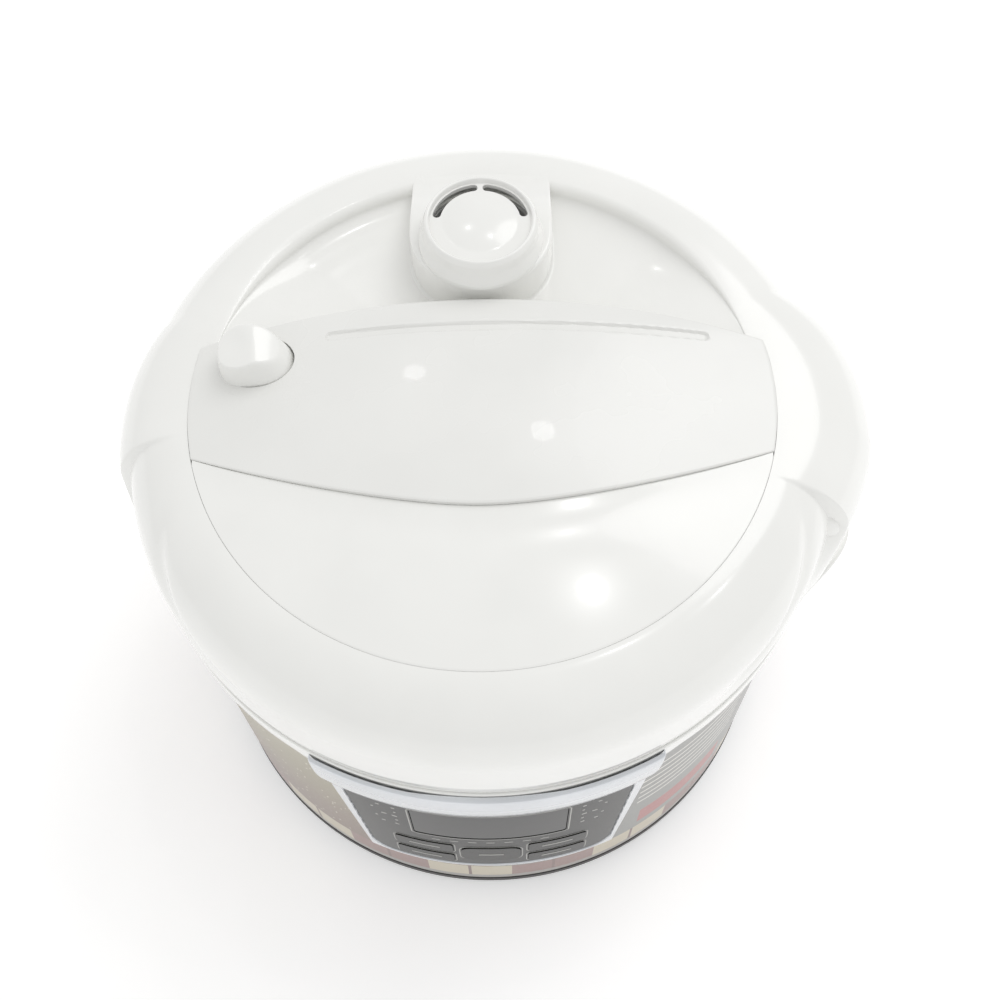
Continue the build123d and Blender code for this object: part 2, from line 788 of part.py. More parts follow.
def lid_front_panel():
    crown, radius = FRONT_DOME
    with BuildPart() as panel:
        with BuildSketch(Plane.XY.offset(250)):
            Circle(PANEL_R - 0.3)
            add(bridge_outline(0.4), mode=Mode.SUBTRACT)
            with Locations((0, 100)):
                Rectangle(300, 240, mode=Mode.SUBTRACT)
        extrude(amount=30)
        add(dome(crown, radius), mode=Mode.INTERSECT)
        add(dome(crown, radius, PANEL_T), mode=Mode.SUBTRACT)
        for x, y in ((0, -104), (62, -84), (-62, -84)):
            add(rod(x, y, DECK_Z, crown - (x * x + y * y) / 2 / radius - 1, 3))
    return panel.part


def lid_liner():
    return turned([(131.5, 200), (151.7, 200), (151.7, 202.5), (134.5, 202.5), (134.5, 226), (131.5, 226)])


def pressure_lid():
    low, high = PLATE_Z
    outline = [(0, low), (93, low), (101, 207), (128.5, 207), (128.5, LID_TOOTH_Z[0]), (LID_SKIRT_R, LID_TOOTH_Z[0]),
               (LID_SKIRT_R, 208), (129, 209), (102.5, 209), (94.5, high), (0, high)]
    with BuildPart() as lid:
        add(turned(outline))
        add(tooth_ring(LID_TOOTH_R, 129, *LID_TOOTH_Z))
        for x, y in STUDS:
            add(rod(x, y, high - 0.5, DECK_Z - LID_WALL, 4))
            add(rod(x, y, 232, 250, 1.55), mode=Mode.SUBTRACT)
        add(rod(*VENT_XY, 200, 230, 5.05), mode=Mode.SUBTRACT)
        add(rod(*FLOAT_XY, 200, 230, 6.05), mode=Mode.SUBTRACT)
        add(rod(0, 0, 199.6, low + 0.5, 3))
    return lid.part


def lid_screws():
    with BuildPart() as screws:
        for x, y in STUDS:
            add(rod(x, y, DECK_Z, DECK_Z + 2.2, 3.4))
            add(rod(x, y, 234, DECK_Z, 1.5))
    return screws.part


def vent_tube():
    x, y = VENT_XY
    with BuildPart() as tube:
        add(rod(x, y, 211, 262, 5))
        add(rod(x, y, PLATE_Z[1], PLATE_Z[1] + 2.5, 8))
        add(rod(x, y, 200, 270, 1.75), mode=Mode.SUBTRACT)
    return tube.part


def vent_nut():
    x, y = VENT_XY
    with BuildPart() as nut:
        with BuildSketch(Plane.XY.offset(PLATE_Z[0] - 6)):
            with Locations((x, y)):
                RegularPolygon(8.5, 6)
                Circle(5.05, mode=Mode.SUBTRACT)
        extrude(amount=6)
    return nut.part


def weight_valve():
    x, y = VENT_XY
    with BuildPart() as weight:
        add(rod(x, y, 257, 274, 9))
        add(rod(x, y, 239.5, 257, 7.5))
        add(rod(x, y, 230, 262.3, 5.5), mode=Mode.SUBTRACT)
        fillet(weight.edges().group_by(Axis.Z)[-1], 2)
    return weight.part


def float_pin():
    x, y = FLOAT_XY
    with BuildPart() as pin:
        add(rod(x, y, 208, 211, 5))
        add(rod(x, y, 211, 256, 3))
    return pin.part


def float_clip():
    x, y = FLOAT_XY
    with BuildPart() as clip:
        add(rod(x, y, 228.1, 229.4, 4.8))
        add(rod(x, y, 227, 231, 3), mode=Mode.SUBTRACT)
    return clip.part


def float_seal():
    x, y = FLOAT_XY
    with BuildPart() as seal:
        add(rod(x, y, 211, 212.8, 5.6))
        add(rod(x, y, 210, 214, 3), mode=Mode.SUBTRACT)
    return seal.part


def float_guide():
    x, y = FLOAT_XY
    with BuildPart() as guide:
        add(rod(x, y, PLATE_Z[0], 228, 6.05))
        add(rod(x, y, PLATE_Z[1], PLATE_Z[1] + 2, 8))
        add(rod(x, y, 210, 230, 3.06), mode=Mode.SUBTRACT)
    return guide.part


def steam_cap():
    outline = [(0, 281.6), (22.0, 282.4), (24.2, 274), (24.2, 272.2), (23.1, 270.8), (23.1, 259), (24.9, 259),
               (24.9, 271.3), (27.6, 271.3), (27.6, 273), (25.2, 283.2), (23.6, 285.4), (0, 284.0)]
    with BuildPart() as cap:
        with BuildSketch(Plane.XZ.offset(-CAP_XY[1])):
            with BuildLine():
                Polyline(*outline, close=True)
            make_face()
        revolve(axis=Axis((*CAP_XY, 0), (0, 0, 1)))
        with BuildSketch(Plane.XY.offset(278)):
            for middle in (47.5, 132.5):
                with BuildLine():
                    CenterArc(CAP_XY, 19.5, middle - 35, 70)
                trace(line_width=3.6)
        extrude(amount=10, mode=Mode.SUBTRACT)
    return cap.part


def release_button():
    x, y = BUTTON_XY
    rx, ry = BUTTON_RADII
    with BuildPart() as button:
        with BuildSketch(Plane.XY.offset(256)):
            with Locations((x, y)):
                Ellipse(rx, ry)
        extrude(amount=8)
        with BuildSketch(Plane.XY.offset(264)):
            with Locations((x, y)):
                Ellipse(rx, ry)
        with BuildSketch(Plane(origin=(x - 2.5, y + 0.5, 277), z_dir=(-0.28, -0.12, 1))):
            Ellipse(rx * 0.58, ry * 0.62)
        loft()
        add(rod(x, y, LEVER_TOP_Z + 0.7, 257, 4))
    return button.part


def button_spring():
    return coil(*BUTTON_XY, DECK_Z, 256, 6.5, 0.5, 3)


PIECES = {
    "foot_ring": foot_ring, "base_housing": base_housing, "bottom_cover": bottom_cover,
    "base_screws": base_screws, "outer_shell": outer_shell, "printed_film": printed_film,
    "trim_ring": trim_ring, "upper_ring": upper_ring, "outer_pot": outer_pot,
    "heating_plate": heating_plate, "heating_element": heating_element, "heater_support": heater_support,
    "pressure_switch": pressure_switch, "thermal_cutout": thermal_cutout, "power_board": power_board,
    "power_parts": power_parts, "sensor_cap": sensor_cap, "sensor_spring": sensor_spring,
    "control_housing": control_housing, "panel_overlay": panel_overlay, "display_window": display_window,
    "control_board": control_board, "display_module": display_module, "key_switches": key_switches,
    "inlet_socket": socket_with_pin_holes, "inlet_pins": inlet_pins, "drain_spout": drain_spout,
    "cup_bracket": cup_bracket, "drip_cup": drip_cup, "inner_pot": inner_pot,
    "inner_lid_plate": inner_lid_plate, "sealing_ring": sealing_ring, "inner_lid_grommet": inner_lid_grommet,
    "lid_cover": lid_cover, "lid_bridge": lid_bridge, "lid_front_panel": lid_front_panel,
    "lid_liner": lid_liner, "pressure_lid": pressure_lid, "lid_screws": lid_screws,
    "vent_tube": vent_tube, "vent_nut": vent_nut, "weight_valve": weight_valve,
    "float_pin": float_pin, "float_seal": float_seal, "float_clip": float_clip,
    "float_guide": float_guide,
    "steam_cap": steam_cap, "release_button": release_button, "button_spring": button_spring,
    "release_lever": release_lever,
}

for node, make in PIECES.items():
    save(make(), node)
save(lever_pin(1.5), "lever_pin")
for node in KEYS:
    save(panel_key(node), node)
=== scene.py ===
"""Electric pressure cooker with a twist-lock lid: its finished surfaces and materials.

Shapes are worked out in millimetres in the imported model's frame: +Z up, the control panel towards -Y.
A bearing is an angle in plan from the front, positive towards +X.
"""

import json

import bmesh
import bpy
import numpy as np
from mathutils import Matrix, Vector


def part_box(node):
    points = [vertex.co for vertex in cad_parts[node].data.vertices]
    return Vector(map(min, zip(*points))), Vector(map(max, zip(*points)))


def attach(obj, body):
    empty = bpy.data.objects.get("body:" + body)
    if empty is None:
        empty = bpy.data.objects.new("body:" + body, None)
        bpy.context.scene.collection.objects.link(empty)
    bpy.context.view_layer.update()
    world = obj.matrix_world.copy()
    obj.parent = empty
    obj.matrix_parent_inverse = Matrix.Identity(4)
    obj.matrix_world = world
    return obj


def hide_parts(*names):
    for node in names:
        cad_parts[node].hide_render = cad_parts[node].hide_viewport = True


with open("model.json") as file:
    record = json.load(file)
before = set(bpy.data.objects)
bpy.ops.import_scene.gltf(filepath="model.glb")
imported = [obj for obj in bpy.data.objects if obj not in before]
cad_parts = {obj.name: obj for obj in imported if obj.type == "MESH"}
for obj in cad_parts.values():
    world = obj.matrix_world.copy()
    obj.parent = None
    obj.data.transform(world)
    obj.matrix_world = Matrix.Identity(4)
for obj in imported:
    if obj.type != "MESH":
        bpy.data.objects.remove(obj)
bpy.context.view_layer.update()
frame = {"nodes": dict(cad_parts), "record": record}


def corners(node):
    """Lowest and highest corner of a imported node, in millimetres."""
    low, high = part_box(node)
    return np.array(low) * 1000, np.array(high) * 1000


LID = corners("lid_cover")
RIM_R = LID[1][1]
SKIRT_Z = LID[0][2]
CROWN_Z = SKIRT_Z + 62.5
SHOULDER_R = 30.5
SHOULDER_Z = CROWN_Z - SHOULDER_R
PARTING_R = RIM_R - SHOULDER_R
DECK_Z = SKIRT_Z + 51.5
BRIDGE = corners("lid_bridge")
CAP = corners("steam_cap")
BUTTON = corners("release_button")
FRAME_BOX = corners("control_housing")
SHELL_R = corners("outer_shell")[1][0]
FILM = corners("printed_film")
RING = corners("upper_ring")
TRIM = corners("trim_ring")
OVERLAY = corners("panel_overlay")
WINDOW = corners("display_window")
POT = corners("inner_pot")
BODY_TOP = RING[1][2]
COLLAR_R = RING[1][1]
LIP_Z = SKIRT_Z + 8.5
FACE_R = 154.2
FACE_ARC = np.pi / 180 * FACE_R  # millimetres along the panel's face per degree
SHELL_ARC = np.pi / 180 * SHELL_R
WINDOW_HALF = 13.3  # half the display window's bearing
EARS = {  # middle bearing, reach, back end, front end at the top and at the skirt, all from the middle
    "right": (90.0, LID[1][0], 23.0, -19.0, -28.5),
    "left": (-90.0, -LID[0][0], 19.5, -8.0, -11.5),
}
EAR_TAPER = {"right": 0.96, "left": 0.3}  # share of an ear's reach that is lost towards its front
KEYS = ("key_upper_left", "key_lower_left", "key_upper_right", "key_lower_right", "key_start")


# Curves and grids


def step(a, b, x):
    """Rises smoothly from 0 at a to 1 at b."""
    t = np.clip((x - a) / (b - a), 0, 1)
    return t * t * (3 - 2 * t)


def soft_min(a, b, width):
    """The lower of two heights, with a rounded crease of that width where they cross."""
    h = np.clip(0.5 + 0.5 * (b - a) / width, 0, 1)
    return b + (a - b) * h - width * h * (1 - h)


def rolled(inward, radius):
    """A quarter circle's drop, 1 at an edge and 0 from the radius inwards."""
    return 1 - np.sqrt(1 - (1 - np.clip(inward / radius, 0, 1)) ** 2)


def rounded(points, radius, count=6, closed=True):
    """A polygon with each corner turned into an arc of up to that radius, tangent to both sides."""
    p = np.asarray(points, float)
    radii = np.broadcast_to(radius, len(p))
    out = []
    for i, (corner, r) in enumerate(zip(p, radii)):
        if r <= 0 or (not closed and i in (0, len(p) - 1)):
            out.append(corner[None])
            continue
        a, b = p[i - 1] - corner, p[(i + 1) % len(p)] - corner
        la, lb = np.linalg.norm(a), np.linalg.norm(b)
        a, b = a / la, b / lb
        half = np.arccos(np.clip(a @ b, -1, 1)) / 2
        if half > 1.54:
            out.append(corner[None])
            continue
        back = min(r / np.tan(half), 0.48 * la, 0.48 * lb)
        t = np.linspace(0, 1, count)[:, None]
        start, end = corner + a * back, corner + b * back
        out.append((1 - t) ** 2 * start + 2 * t * (1 - t) * corner + t * t * end)
    return np.concatenate(out)


def on_circle(radius, bearing, z):
    """Points at radii, bearings in degrees and heights."""
    a = np.radians(bearing)
    return np.stack(np.broadcast_arrays(radius * np.sin(a), -radius * np.cos(a), z), -1)


def grid_faces(n, m, around=False, along=False, keep=None):
    """Quads over an n by m grid, closed round either way where asked, kept where keep is true."""
    i, j = np.meshgrid(np.arange(n if around else n - 1), np.arange(m if along else m - 1), indexing="ij")
    i2, j2 = (i + 1) % n, (j + 1) % m
    quads = np.stack((i * m + j, i2 * m + j, i2 * m + j2, i * m + j2), -1)
    return quads.reshape(-1, 4) if keep is None else quads[keep]


def free_walls(n, m, keep, around=False):
    """Quads that join the free edges of a kept grid to the same edges of a second grid below it."""
    rows = n if around else n - 1
    index = np.arange(n * m).reshape(n, m)
    nxt = np.roll(index, -1, 0)
    a, b, c, d = index[:rows, :-1], nxt[:rows, :-1], nxt[:rows, 1:], index[:rows, 1:]
    full = np.pad(keep, ((0, 0), (1, 1)))
    full = np.concatenate((full[-1:], full, full[:1])) if around else np.pad(full, ((1, 1), (0, 0)))
    sides = ((a, d, full[:-2, 1:-1]), (c, b, full[2:, 1:-1]), (b, a, full[1:-1, :-2]), (d, c, full[1:-1, 2:]))
    walls = []
    for p, q, beyond in sides:
        edge = keep & ~beyond
        p, q = p[edge], q[edge]
        walls.append(np.stack((p, q, q + n * m, p + n * m), -1))
    return np.concatenate(walls)


def cut_out(u, v, distance):
    """Drops the grid cells where distance(u, v) is negative and moves the cut's edge onto distance 0."""
    centre = [(g[:-1, :-1] + g[1:, :-1] + g[1:, 1:] + g[:-1, 1:]) / 4 for g in (u, v)]
    keep = distance(*centre) > 0
    near = np.zeros(u.shape, int)
    for di, dj in ((0, 0), (1, 0), (0, 1), (1, 1)):
        near[di:u.shape[0] - 1 + di, dj:u.shape[1] - 1 + dj] += np.where(keep, 1, 100)
    edge = (near > 100) & (near % 100 > 0)
    for _ in range(3):
        d, tiny = distance(u, v), 0.01
        du = (distance(u + tiny, v) - d) / tiny
        dv = (distance(u, v + tiny) - d) / tiny
        size = np.maximum(du * du + dv * dv, 0.05)
        u = np.where(edge, u - d * du / size, u)
        v = np.where(edge, v - d * dv / size, v)
    return u, v, keep


def round_box(u, v, u0, u1, v0, v1, corner):
    """Distance outside a rounded rectangle, negative inside."""
    x = np.abs(u - (u0 + u1) / 2) - (u1 - u0) / 2 + corner
    y = np.abs(v - (v0 + v1) / 2) - (v1 - v0) / 2 + corner
    return np.hypot(np.maximum(x, 0), np.maximum(y, 0)) + np.minimum(np.maximum(x, y), 0) - corner


# Pieces


def piece(name, points, faces, body, slot, stands_for=(), crease=32):
    """Makes a closed mesh from points in millimetres and quads, facing outwards, and hands it to its body."""
    points = np.asarray(points, float).reshape(-1, 3) * 0.001
    a, b, c, d = (points[faces[:, k]] for k in range(4))
    solid = np.linalg.norm(np.cross(c - a, d - b), axis=1) > 1e-13
    faces, a, b, c, d = faces[solid], a[solid], b[solid], c[solid], d[solid]
    volume = np.einsum("ij,ij->i", a, np.cross(b, c)).sum() + np.einsum("ij,ij->i", a, np.cross(c, d)).sum()
    if volume < 0:
        faces = faces[:, ::-1]
    mesh = bpy.data.meshes.new(name)
    mesh.from_pydata(points.tolist(), [], faces.tolist())
    work = bmesh.new()
    work.from_mesh(mesh)
    bmesh.ops.remove_doubles(work, verts=work.verts, dist=1e-6)
    bmesh.ops.dissolve_degenerate(work, edges=work.edges, dist=1e-7)
    bmesh.ops.delete(work, geom=[e for e in work.edges if not e.link_faces], context="EDGES")
    bmesh.ops.delete(work, geom=[v for v in work.verts if not v.link_faces], context="VERTS")
    work.to_mesh(mesh)
    work.free()
    mesh.shade_smooth()
    mesh.set_sharp_from_angle(angle=np.radians(crease))
    made = bpy.data.objects.new(name, mesh)
    bpy.context.scene.collection.objects.link(made)
    mesh.materials.append(FINISH[slot])
    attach(made, body)
    if stands_for:
        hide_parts(*stands_for)
    return made


def two_sided(name, top, under, keep, body, slot, stands_for=(), around=False, crease=32):
    """A closed solid between two grids of points, with walls at every free edge."""
    n, m = top.shape[:2]
    skin = grid_faces(n, m, around, False, keep)
    faces = np.concatenate((skin, skin[:, ::-1] + n * m, free_walls(n, m, keep, around)))
    both = np.concatenate((top.reshape(-1, 3), under.reshape(-1, 3)))
    return piece(name, both, faces, body, slot, stands_for, crease)


def lathe(name, outline, body, slot, stands_for=(), radius=0.6, centre=(0, 0), turns=288, closed=True):
    """A profile of (r, z) corners, rounded, carried round an upright axis; open ones start and end on it."""
    line = rounded(outline, radius, 6, closed)
    bearing = np.arange(turns) * 360 / turns
    grid = on_circle(line[None, :, 0], bearing[:, None], line[None, :, 1]) + np.array((*centre, 0.0))
    return piece(name, grid, grid_faces(turns, len(line), True, closed), body, slot, stands_for)


# Materials


def linear(code, alpha=1.0):
    """An sRGB hex colour as linear red, green, blue and alpha."""
    c = np.array([int(code[i:i + 2], 16) for i in (1, 3, 5)]) / 255
    return (*np.where(c <= 0.04045, c / 12.92, ((c + 0.055) / 1.055) ** 2.4), alpha)


def node(tree, kind, inputs=(), **settings):
    """Adds one node, applies its settings, and sets or links its inputs by name or number."""
    made = tree.nodes.new("ShaderNode" + kind)
    for key, value in settings.items():
        setattr(made, key, value)
    for key, value in dict(inputs).items():
        if isinstance(value, bpy.types.NodeSocket):
            tree.links.new(value, made.inputs[key])
        else:
            made.inputs[key].default_value = value
    return made


def surface(name, **constants):
    """A new material: its tree, its shader with the constant sockets set, and the Object coordinates."""
    made = bpy.data.materials.new(name)
    made.use_nodes = True
    tree = made.node_tree
    shader = tree.nodes["Principled BSDF"]
    for key, value in constants.items():
        shader.inputs[key.replace("_", " ")].default_value = value
    place = node(tree, "TexCoord").outputs["Object"]
    return made, tree, shader, place


def two_tone(tree, signal, low, high, dark, light):
    """A ramp between two colours as a signal goes from low to high."""
    ramp = node(tree, "ValToRGB", {"Fac": signal})
    start, end = ramp.color_ramp.elements
    start.position, end.position = low, high
    start.color, end.color = linear(dark), linear(light)
    return ramp


def mottled(tree, shader, place, dark, light, size_mm, detail=3.0):
    """Base colour that drifts between two near shades over patches of a size."""
    noise = node(tree, "TexNoise", {"Vector": place, "Scale": 1000 / size_mm, "Detail": detail})
    ramp = two_tone(tree, noise.outputs["Fac"], 0.35, 0.65, dark, light)
    tree.links.new(ramp.outputs["Color"], shader.inputs["Base Color"])
    return noise.outputs["Fac"]


def bumped(tree, shader, height, strength, depth_mm):
    """Relief of a depth from a height signal."""
    bump = node(tree, "Bump", {"Height": height, "Strength": strength, "Distance": depth_mm / 1000})
    tree.links.new(bump.outputs["Normal"], shader.inputs["Normal"])


def uneven(tree, shader, signal, low, high):
    """Roughness between two values, following a signal."""
    spread = node(tree, "MapRange", {"Value": signal, "To Min": low, "To Max": high})
    tree.links.new(spread.outputs["Result"], shader.inputs["Roughness"])


def moulded(name, dark, light, rough, grain_mm, depth_mm, **extra):
    """Injection-moulded plastic: faint drift in shade, uneven gloss, and the mould's grain."""
    made, tree, shader, place = surface(name, IOR=1.53, **extra)
    drift = mottled(tree, shader, place, dark, light, 45.0)
    uneven(tree, shader, drift, rough * 0.88, rough * 1.12)
    grain = node(tree, "TexNoise",
                 {"Vector": place, "Scale": 1000 / grain_mm, "Detail": 4.0, "Roughness": 0.6})
    bumped(tree, shader, grain.outputs["Fac"], 0.5, depth_mm)
    return made


def brushed(name, dark, light, rough, stretch, line_mm, metallic=1.0):
    """Metal with fine drawn lines: noise squeezed across the lines shades it and gives them relief."""
    made, tree, shader, place = surface(name, Metallic=metallic)
    squeeze = node(tree, "Mapping", {"Vector": place, "Scale": stretch})
    lines = node(tree, "TexNoise",
                 {"Vector": squeeze.outputs["Vector"], "Scale": 1000 / line_mm, "Detail": 5.0})
    ramp = two_tone(tree, lines.outputs["Fac"], 0.3, 0.7, dark, light)
    tree.links.new(ramp.outputs["Color"], shader.inputs["Base Color"])
    uneven(tree, shader, lines.outputs["Fac"], rough * 0.8, rough * 1.2)
    bumped(tree, shader, lines.outputs["Fac"], 0.25, 0.01)
    return made


def speckled_coating():
    """Sprayed non-stick coating on pressed aluminium: charcoal with pale flecks about a millimetre across."""
    made, tree, shader, place = surface("nonstick_coating", Metallic=0.25, Specular_IOR_Level=0.5)
    flecks = node(tree, "TexVoronoi", {"Vector": place, "Scale": 1000 / 3.2})
    ramp = two_tone(tree, flecks.outputs["Distance"], 0.10, 0.17, "#9A9A98", "#3A3B3D")
    ramp.color_ramp.interpolation = "EASE"
    tree.links.new(ramp.outputs["Color"], shader.inputs["Base Color"])
    grain = node(tree, "TexNoise", {"Vector": place, "Scale": 1000 / 0.8, "Detail": 3.0})
    uneven(tree, shader, grain.outputs["Fac"], 0.34, 0.5)
    bumped(tree, shader, grain.outputs["Fac"], 0.4, 0.03)
    return made


def printed_wrap():
    """Printed PET film round the body, satin from its laminate.

    Left of the panel it shades from pale olive down to brick red with fine light specks; right of it is
    slate grey with pale bars; a band of cream and brick blocks runs round the foot. All of it follows the
    bearing and the height.
    """
    made, tree, shader, place = surface("printed_pet_film", IOR=1.57, Coat_Weight=0.3, Coat_Roughness=0.2)
    axis = node(tree, "SeparateXYZ", {"Vector": place})
    x, y, z = (axis.outputs[k] for k in "XYZ")

    def calc(kind, a, b=0.0, c=0.0):
        return node(tree, "Math", {0: a, 1: b, 2: c}, operation=kind).outputs[0]

    def blend(amount, under, over):
        mixed = node(tree, "Mix", {0: amount, 6: under, 7: over}, data_type="RGBA")
        return mixed.outputs[2]

    bearing = calc("ARCTAN2", x, calc("MULTIPLY", y, -1.0))
    up = calc("MULTIPLY", z, 1000.0)
    run = calc("MULTIPLY", bearing, SHELL_R)
    low, high = FILM[0][2], FILM[1][2]
    fade = node(tree, "ValToRGB", {"Fac": calc("DIVIDE", calc("SUBTRACT", up, low), high - low)})
    stops = fade.color_ramp.elements
    stops[0].color, stops[1].color = linear("#6A4B3E"), linear("#A39D83")
    stops.new(0.35).color, stops.new(0.7).color = linear("#7B6653"), linear("#8F8569")
    specks = node(tree, "TexVoronoi", {"Vector": place, "Scale": 1000 / 5.0})
    warm = blend(calc("LESS_THAN", specks.outputs["Distance"], 0.11), fade.outputs["Color"],
                 linear("#F3EEDF"))
    fold = calc("PINGPONG", calc("ADD", run, 400.0), 46.0)
    rows = calc("LESS_THAN", calc("PINGPONG", up, 4.5), 1.1)
    bars = calc("MULTIPLY", rows, calc("GREATER_THAN", fold, 14.0))
    tall = calc("MULTIPLY", calc("GREATER_THAN", up, 96.0), calc("LESS_THAN", up, 160.0))
    slate = blend(calc("MULTIPLY", bars, tall), linear("#7F7F7B"), linear("#D3D0C9"))
    box = calc("MULTIPLY", calc("LESS_THAN", calc("ABSOLUTE", calc("SUBTRACT", up, 66.0)), 12.0),
               calc("GREATER_THAN", fold, 18.0))
    slate = blend(box, slate, linear("#A2504B"))
    side = calc("GREATER_THAN", x, 0.0)
    upper = blend(side, warm, slate)
    blocks = calc("GREATER_THAN", calc("PINGPONG", calc("ADD", run, 12.0), 44.0), 22.0)
    foot = blend(blocks, linear("#BFB49C"), linear("#86625A"))
    gaps = calc("LESS_THAN", calc("PINGPONG", calc("ADD", run, 12.0), 22.0), 0.8)
    foot = blend(gaps, foot, linear("#6B4A42"))
    colour = blend(calc("LESS_THAN", up, low + 27.0), upper, foot)
    colour = blend(calc("LESS_THAN", up, low + 6.0), colour, linear("#8F8C86"))
    tree.links.new(colour, shader.inputs["Base Color"])
    grain = node(tree, "TexNoise", {"Vector": place, "Scale": 1000 / 1.5, "Detail": 3.0})
    uneven(tree, shader, grain.outputs["Fac"], 0.28, 0.4)
    bumped(tree, shader, grain.outputs["Fac"], 0.3, 0.01)
    return made


FINISH = {
    # High-gloss ABS: bright small reflections, the faintest orange peel.
    "white_plastic": moulded("glossy_abs", "#F3F3F0", "#F6F6F3", 0.16, 5.0, 0.008, Coat_Weight=0.25,
                             Coat_Roughness=0.05),
    # The bridge is etched finer in the mould, so it is a shade greyer and softer than the rim.
    "bridge_plastic": moulded("satin_abs", "#ECECE9", "#EFEFEC", 0.27, 0.7, 0.012, Coat_Weight=0.1),
    # Polypropylene off a plain matt mould: an even, dull sheen.
    "liner_plastic": moulded("matt_pp_liner", "#D3D3CF", "#DCDCD8", 0.5, 0.8, 0.02),
    # Spark-eroded grain on polypropylene: dark and soft, with no clear reflection.
    "dark_plastic": moulded("grained_pp", "#2A2827", "#322F2E", 0.48, 1.1, 0.05),
    # Glass-filled PBT, moulded: a deep black with a dull sheen.
    "black_plastic": moulded("black_pbt", "#151516", "#1B1B1C", 0.42, 0.7, 0.02),
    # Silver lacquer over ABS: fine flake, soft mirror.
    "silver_plastic": moulded("silver_lacquer", "#D3D6DA", "#DDE0E4", 0.2, 3.0, 0.002, Metallic=0.5,
                              Coat_Weight=0.5, Coat_Roughness=0.06),
    # Smoked acrylic sheet, polished and back-printed: a dark face with faint, sharp reflections.
    "panel_gloss": moulded("smoked_acrylic", "#1C1C1A", "#222220", 0.2, 6.0, 0.004, Specular_IOR_Level=0.13),
    "display": moulded("display_acrylic", "#191A19", "#1F1F1E", 0.12, 8.0, 0.002, Specular_IOR_Level=0.15),
    # Hard-coated polycarbonate film over the keys: a shade lighter and softer than the sheet.
    "key_plastic": moulded("key_film", "#242422", "#2B2B29", 0.26, 0.6, 0.008, Specular_IOR_Level=0.14),
    "film": printed_wrap(),
    # Stainless sheet, brushed round the shell: its lines run level.
    "shell_steel": brushed("brushed_shell_steel", "#A2A09D", "#BDBBB8", 0.34, (1, 1, 30), 14.0),
    # Stainless steel, deep drawn: brighter, with fainter lines.
    "steel": brushed("drawn_stainless", "#B9B9B8", "#CFCFCE", 0.24, (1, 1, 12), 9.0),
    # Cast aluminium, turned on its face: pale, with fine tool marks.
    "aluminium": brushed("turned_aluminium", "#C2C3C5", "#D4D5D6", 0.32, (8, 8, 1), 8.0),
    "pot": speckled_coating(),
    # Drawn brass: warm and half bright.
    "brass": brushed("nickel_brass", "#B89B5E", "#CDB277", 0.28, (1, 10, 1), 5.0),
    # Food silicone: milky, soft sheen.
    "silicone": moulded("milky_silicone", "#D9D7D0", "#E4E2DC", 0.45, 1.5, 0.02, Subsurface_Weight=0.15),
    # Clarified polypropylene, moulded: nearly clear, with soft highlights.
    "clear_plastic": moulded("clear_pp", "#E4E8EA", "#EFF2F3", 0.2, 3.0, 0.02, Transmission_Weight=0.75),
    # Screen-printed ink: flat pale grey.
    "print": moulded("screen_print", "#A9A9A4", "#B2B2AD", 0.45, 0.8, 0.004),
    # Glass-epoxy board under green solder mask.
    "board": moulded("fr4_board", "#1F4A2C", "#2A5C38", 0.4, 1.0, 0.02),
}

for part in frame["record"]["subparts"]:
    shape = frame["nodes"][part["node"]]
    shape.data.materials.clear()
    shape.data.materials.append(FINISH[part["material_slot"]])


# Lid


def past_middle(bearing, side):
    """Degrees from an ear's middle towards the back, negative towards the front."""
    middle = EARS[side][0]
    angle = bearing - middle if side == "right" else middle - bearing
    return (angle + 180) % 360 - 180


def ease_behind(angle, back):
    """Falls from 1 to 0 behind an ear's middle, as 1 minus a steep power of the angle."""
    return 1 - np.clip((angle + 6) / (back + 6), 0, 1) ** 3.3


def ear_amount(bearing, z, side):
    """How far an ear has grown out, 0 to 1, by bearing and height.

    Towards the back it eases out; towards the front it tapers by its side's share and then drops at a step
    whose place runs forward as it goes down, and which softens on the way down on the right.
    """
    _, _, back, front_top, front_low = EARS[side]
    angle = past_middle(bearing, side)
    taper = 1 - EAR_TAPER[side] * np.clip((-5 - angle) / (-5 - front_low), 0, 1) ** 1.25
    edge = front_low + (front_top - front_low) * step(SKIRT_Z + 8, SHOULDER_Z + 9, z)
    soft = 0.5 + 4.5 * step(SHOULDER_Z + 9, SKIRT_Z + 8, z) * (side == "right")
    return ease_behind(angle, back) * taper * step(edge - soft, edge + soft, angle)


def lid_bearings():
    """Bearings for the lid's grid: even, and much closer where the ears end at their front steps."""
    even = np.arange(-180, 180, 1.0)
    fronts = []
    for side, sign in (("right", 1), ("left", -1)):
        middle, _, _, top, low = EARS[side]
        ends = sorted((middle + sign * top, middle + sign * low))
        fronts.append(np.arange(ends[0] - 1.0, ends[1] + 1.0, 0.2))
    every = np.unique(np.round(np.concatenate((even, *fronts)), 3))
    return every[np.concatenate(([True], np.diff(every) > 0.09))]


